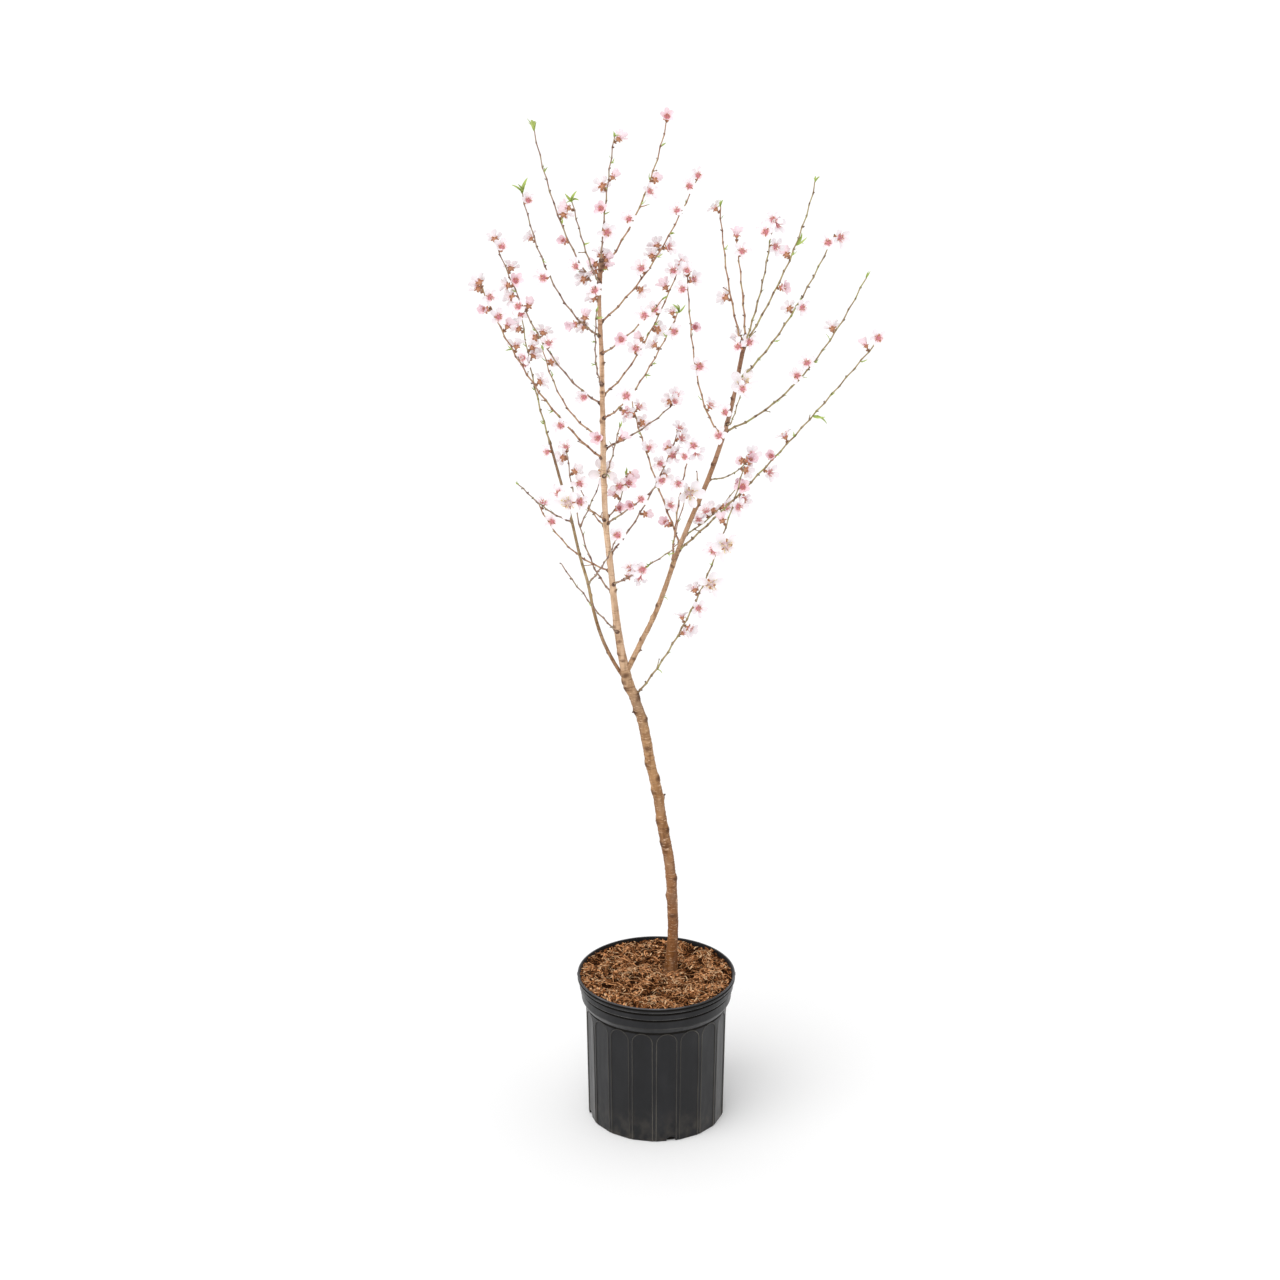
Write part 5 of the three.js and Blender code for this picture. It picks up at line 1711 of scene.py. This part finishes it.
YOUNG_KINDS = ((1, "rosy"), (0.9, "rosy"), (0.78, "rosy"), (0.62, "rosy"), (0.42, "young"), (0.2, "young"))
PALE_KINDS = 3
petal_meshes = [petals(61 + i, openness, bands) for i, (openness, bands) in enumerate(YOUNG_KINDS)]
petal_meshes += [petals(71 + i, 1 - 0.1 * i, "pale") for i in range(PALE_KINDS)]
petal_shapes = shapes("petals", petal_meshes)
kind_count = len(YOUNG_KINDS) + PALE_KINDS
calyx_shapes = shapes("calyxes", [
    calyx(81 + i, 0.27 if i < len(YOUNG_KINDS) else 0.2) for i in range(kind_count)
])
stalk_shapes = shapes("stalks", [stalk(91 + i) for i in range(kind_count)])
brushes = [brush(101 + i, 13, 0.34) for i in range(len(YOUNG_KINDS))]
brushes += [brush(111 + i, 18, 0.46) for i in range(PALE_KINDS)]
filament_shapes = shapes("filaments", [filaments for filaments, anthers in brushes])
anther_shapes = shapes("anthers", [anthers for filaments, anthers in brushes])


def blossom_places(stem, text, roll, detail):
    """
    Where the blossoms of a stem stand: root, facing, spin, size and kind of each stalk, and the same of each
    head, which nods outwards from its stalk.
    """
    stalks, heads = [], []
    for along, side, large, back in marks(text):
        point, tangent, radius = stem.spot(along)
        way = outwards_at(tangent, side, back, roll)
        root = point - tangent * ROOT_SUNK
        size = (OPEN_BLOSSOM if large else BLOSSOM) * (0.9 + 0.2 * detail())
        if large:
            kind = len(YOUNG_KINDS) + int(detail() * PALE_KINDS)
        else:
            kind = min(int(detail() ** 1.7 * len(YOUNG_KINDS)), len(YOUNG_KINDS) - 1)
        share = 0.9 if large else 0.3 + 0.7 * detail()
        nod = np.array([0, 0.5, 0.05]) if back else np.array([0, -0.95, 0.3])
        stray = np.array([detail() - 0.5, detail() - 0.5, detail() - 0.5]) * 0.5
        facing = unit(way * (1 - 0.65 * share) + nod * share + stray)
        spin = detail() * FULL_TURN
        stalks.append((root, way, spin, size * mm, kind))
        heads.append((root + way * size * STALK_LENGTH, facing, spin, size * mm, kind))
    return stalks, heads


# Every stem that carries blossom or leaves, with its row and its own two streams of numbers.
carriers = [
    (LIMBS[name], row, dice(101 + index), dice(301 + index))
    for index, (name, row) in enumerate(TRIMMINGS.items())
]
carriers += [
    (stem, row, shoot["roll"], shoot["detail"])
    for shoot in shoots for stem, row in zip(shoot["stems"], shoot["rows"])
]
stalks, heads = [], []
for stem, row, roll, detail in carriers:
    new_stalks, new_heads = blossom_places(stem, row.get("blossoms", ""), roll, detail)
    stalks += new_stalks
    heads += new_heads

PETAL_ROUGHNESS = 0.6
petal_finishes = {
    "Throat": finish("petal throat", (0.82, 0.28, 0.36), PETAL_ROUGHNESS),
    "Rose": finish("petal rose", (0.89, 0.52, 0.59), PETAL_ROUGHNESS),
    "Pink": finish("petal pink", (0.918, 0.645, 0.71), PETAL_ROUGHNESS),
    "Blush": finish("petal blush", (0.922, 0.735, 0.79), PETAL_ROUGHNESS),
    "Material": finish("petal tip", (0.918, 0.86, 0.888), PETAL_ROUGHNESS),
}
petal_piece = stood(blossom_recipe, "petals", heads, petal_shapes, petal_finishes)
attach(petal_piece, "root")
young_heads = [place for place in heads if place[4] < len(YOUNG_KINDS)]
open_heads = [place for place in heads if place[4] >= len(YOUNG_KINDS)]
for name, places, kinds, colour, rough in (
    ("calyxes", heads, calyx_shapes, (0.52, 0.235, 0.125), 0.5),
    ("blossom_stalks", stalks, stalk_shapes, (0.31, 0.145, 0.075), 0.6),
    ("filaments_pink", young_heads, filament_shapes, (0.88, 0.56, 0.58), 0.5),
    ("filaments_pale", open_heads, filament_shapes, (0.86, 0.72, 0.62), 0.5),
    ("anthers_ochre", young_heads, anther_shapes, (0.62, 0.3, 0.12), 0.7),
    ("anthers_yellow", open_heads, anther_shapes, (0.8, 0.64, 0.3), 0.7),
):
    kind_finish = finish(name.replace("_", " "), colour, rough)
    part = stood(standing, name, places, kinds, {"Material": kind_finish})
    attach(part, "root")
for collection in (petal_shapes, calyx_shapes, stalk_shapes, filament_shapes, anther_shapes):
    forget(collection)

# ---- leaves --------------------------------------------------------------------------------------------
# The first leaves have just opened: slim, folded along the midrib and arched outwards, in tufts of three to
# five at the buds and shoot tips, fresh yellow-green.
LEAF = 9
LARGE_LEAF = 18
LEAF_KINDS = 4


def leaf(seed, arch, width):
    """A folded blade of length 1 that stands along +Z and arches over."""
    roll = dice(seed)
    rows = 7
    places, faces = [], []
    fold = 0.6 + 0.3 * roll()
    slope, x, z = 0.0, 0.0, 0.0
    for i in range(rows):
        t = i / (rows - 1)
        if i:
            slope = arch * t
            x += math.sin(slope) / (rows - 1)
            z += math.cos(slope) / (rows - 1)
        half = width * (math.sin(math.pi * min(1, t ** 0.8 * 0.97 + 0.03)) ** 0.8) + 0.01
        for s in (-1, -0.5, 0, 0.5, 1):
            out = abs(s) * half * fold
            places.append((x - out * math.cos(slope), half * s, z + out * math.sin(slope)))
    for i in range(rows - 1):
        for j in range(4):
            low = i * 5 + j
            faces.append((low, low + 1, low + 6, low + 5))
    return simple_mesh("leaf", places, faces)


def leaf_places(stem, text, roll, detail):
    """Where a stem's leaves stand: a mark is a tuft of three, four if large or on a tip, or five if both."""
    places = []
    for along, side, large, back in marks(text):
        length = LARGE_LEAF if large else LEAF
        point, tangent, radius = stem.spot(along)
        root = point - tangent * ROOT_SUNK
        spread = [-0.35, 0.05, 0.4] if side == "t" else [-0.3, 0.3] if large else [0]
        for part in spread:
            facing = outwards_at(tangent, side, back, roll)
            right, behind = across(facing)
            facing = facing + right * part + behind * part * (roll() - 0.5)
            facing = unit(facing + tangent * (1.15 if side == "t" else 0.5))
            places.append((root, facing, detail() * FULL_TURN, length * (0.8 + 0.2 * roll()) * mm,
                           int(detail() * LEAF_KINDS)))
        for _ in range(1 + (large or side != "t")):
            facing = outwards_at(tangent, side, back, detail)
            right, behind = across(facing)
            facing = facing + right * (detail() - 0.5) * 1.1 + behind * (detail() - 0.5) * 1.1
            facing = unit(facing + tangent * 0.6)
            places.append((root, facing, detail() * FULL_TURN, length * (0.45 + 0.25 * detail()) * mm,
                           int(detail() * LEAF_KINDS)))
    return places


leaf_shapes = shapes("leaves", [
    leaf(121 + i, 0.25 + 0.25 * i, 0.068 + 0.008 * i) for i in range(LEAF_KINDS)
])
leaves = []
for stem, row, roll, detail in carriers:
    leaves += leaf_places(stem, row.get("leaves", ""), roll, detail)
# Six leaves in ten are the fresher green, dealt out evenly among the deeper ones.
LEAF_GREENS = {"leaves_fresh": (0.45, 0.56, 0.14), "leaves_deep": (0.33, 0.43, 0.09)}
for number, (name, colour) in enumerate(LEAF_GREENS.items()):
    share = [place for index, place in enumerate(leaves) if (index * 7 % 10 < 6) == (number == 0)]
    blade = finish(name.replace("_", " "), colour, 0.5)
    part = stood(standing, name, share, leaf_shapes, {"Material": blade})
    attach(part, "root")
forget(leaf_shapes)
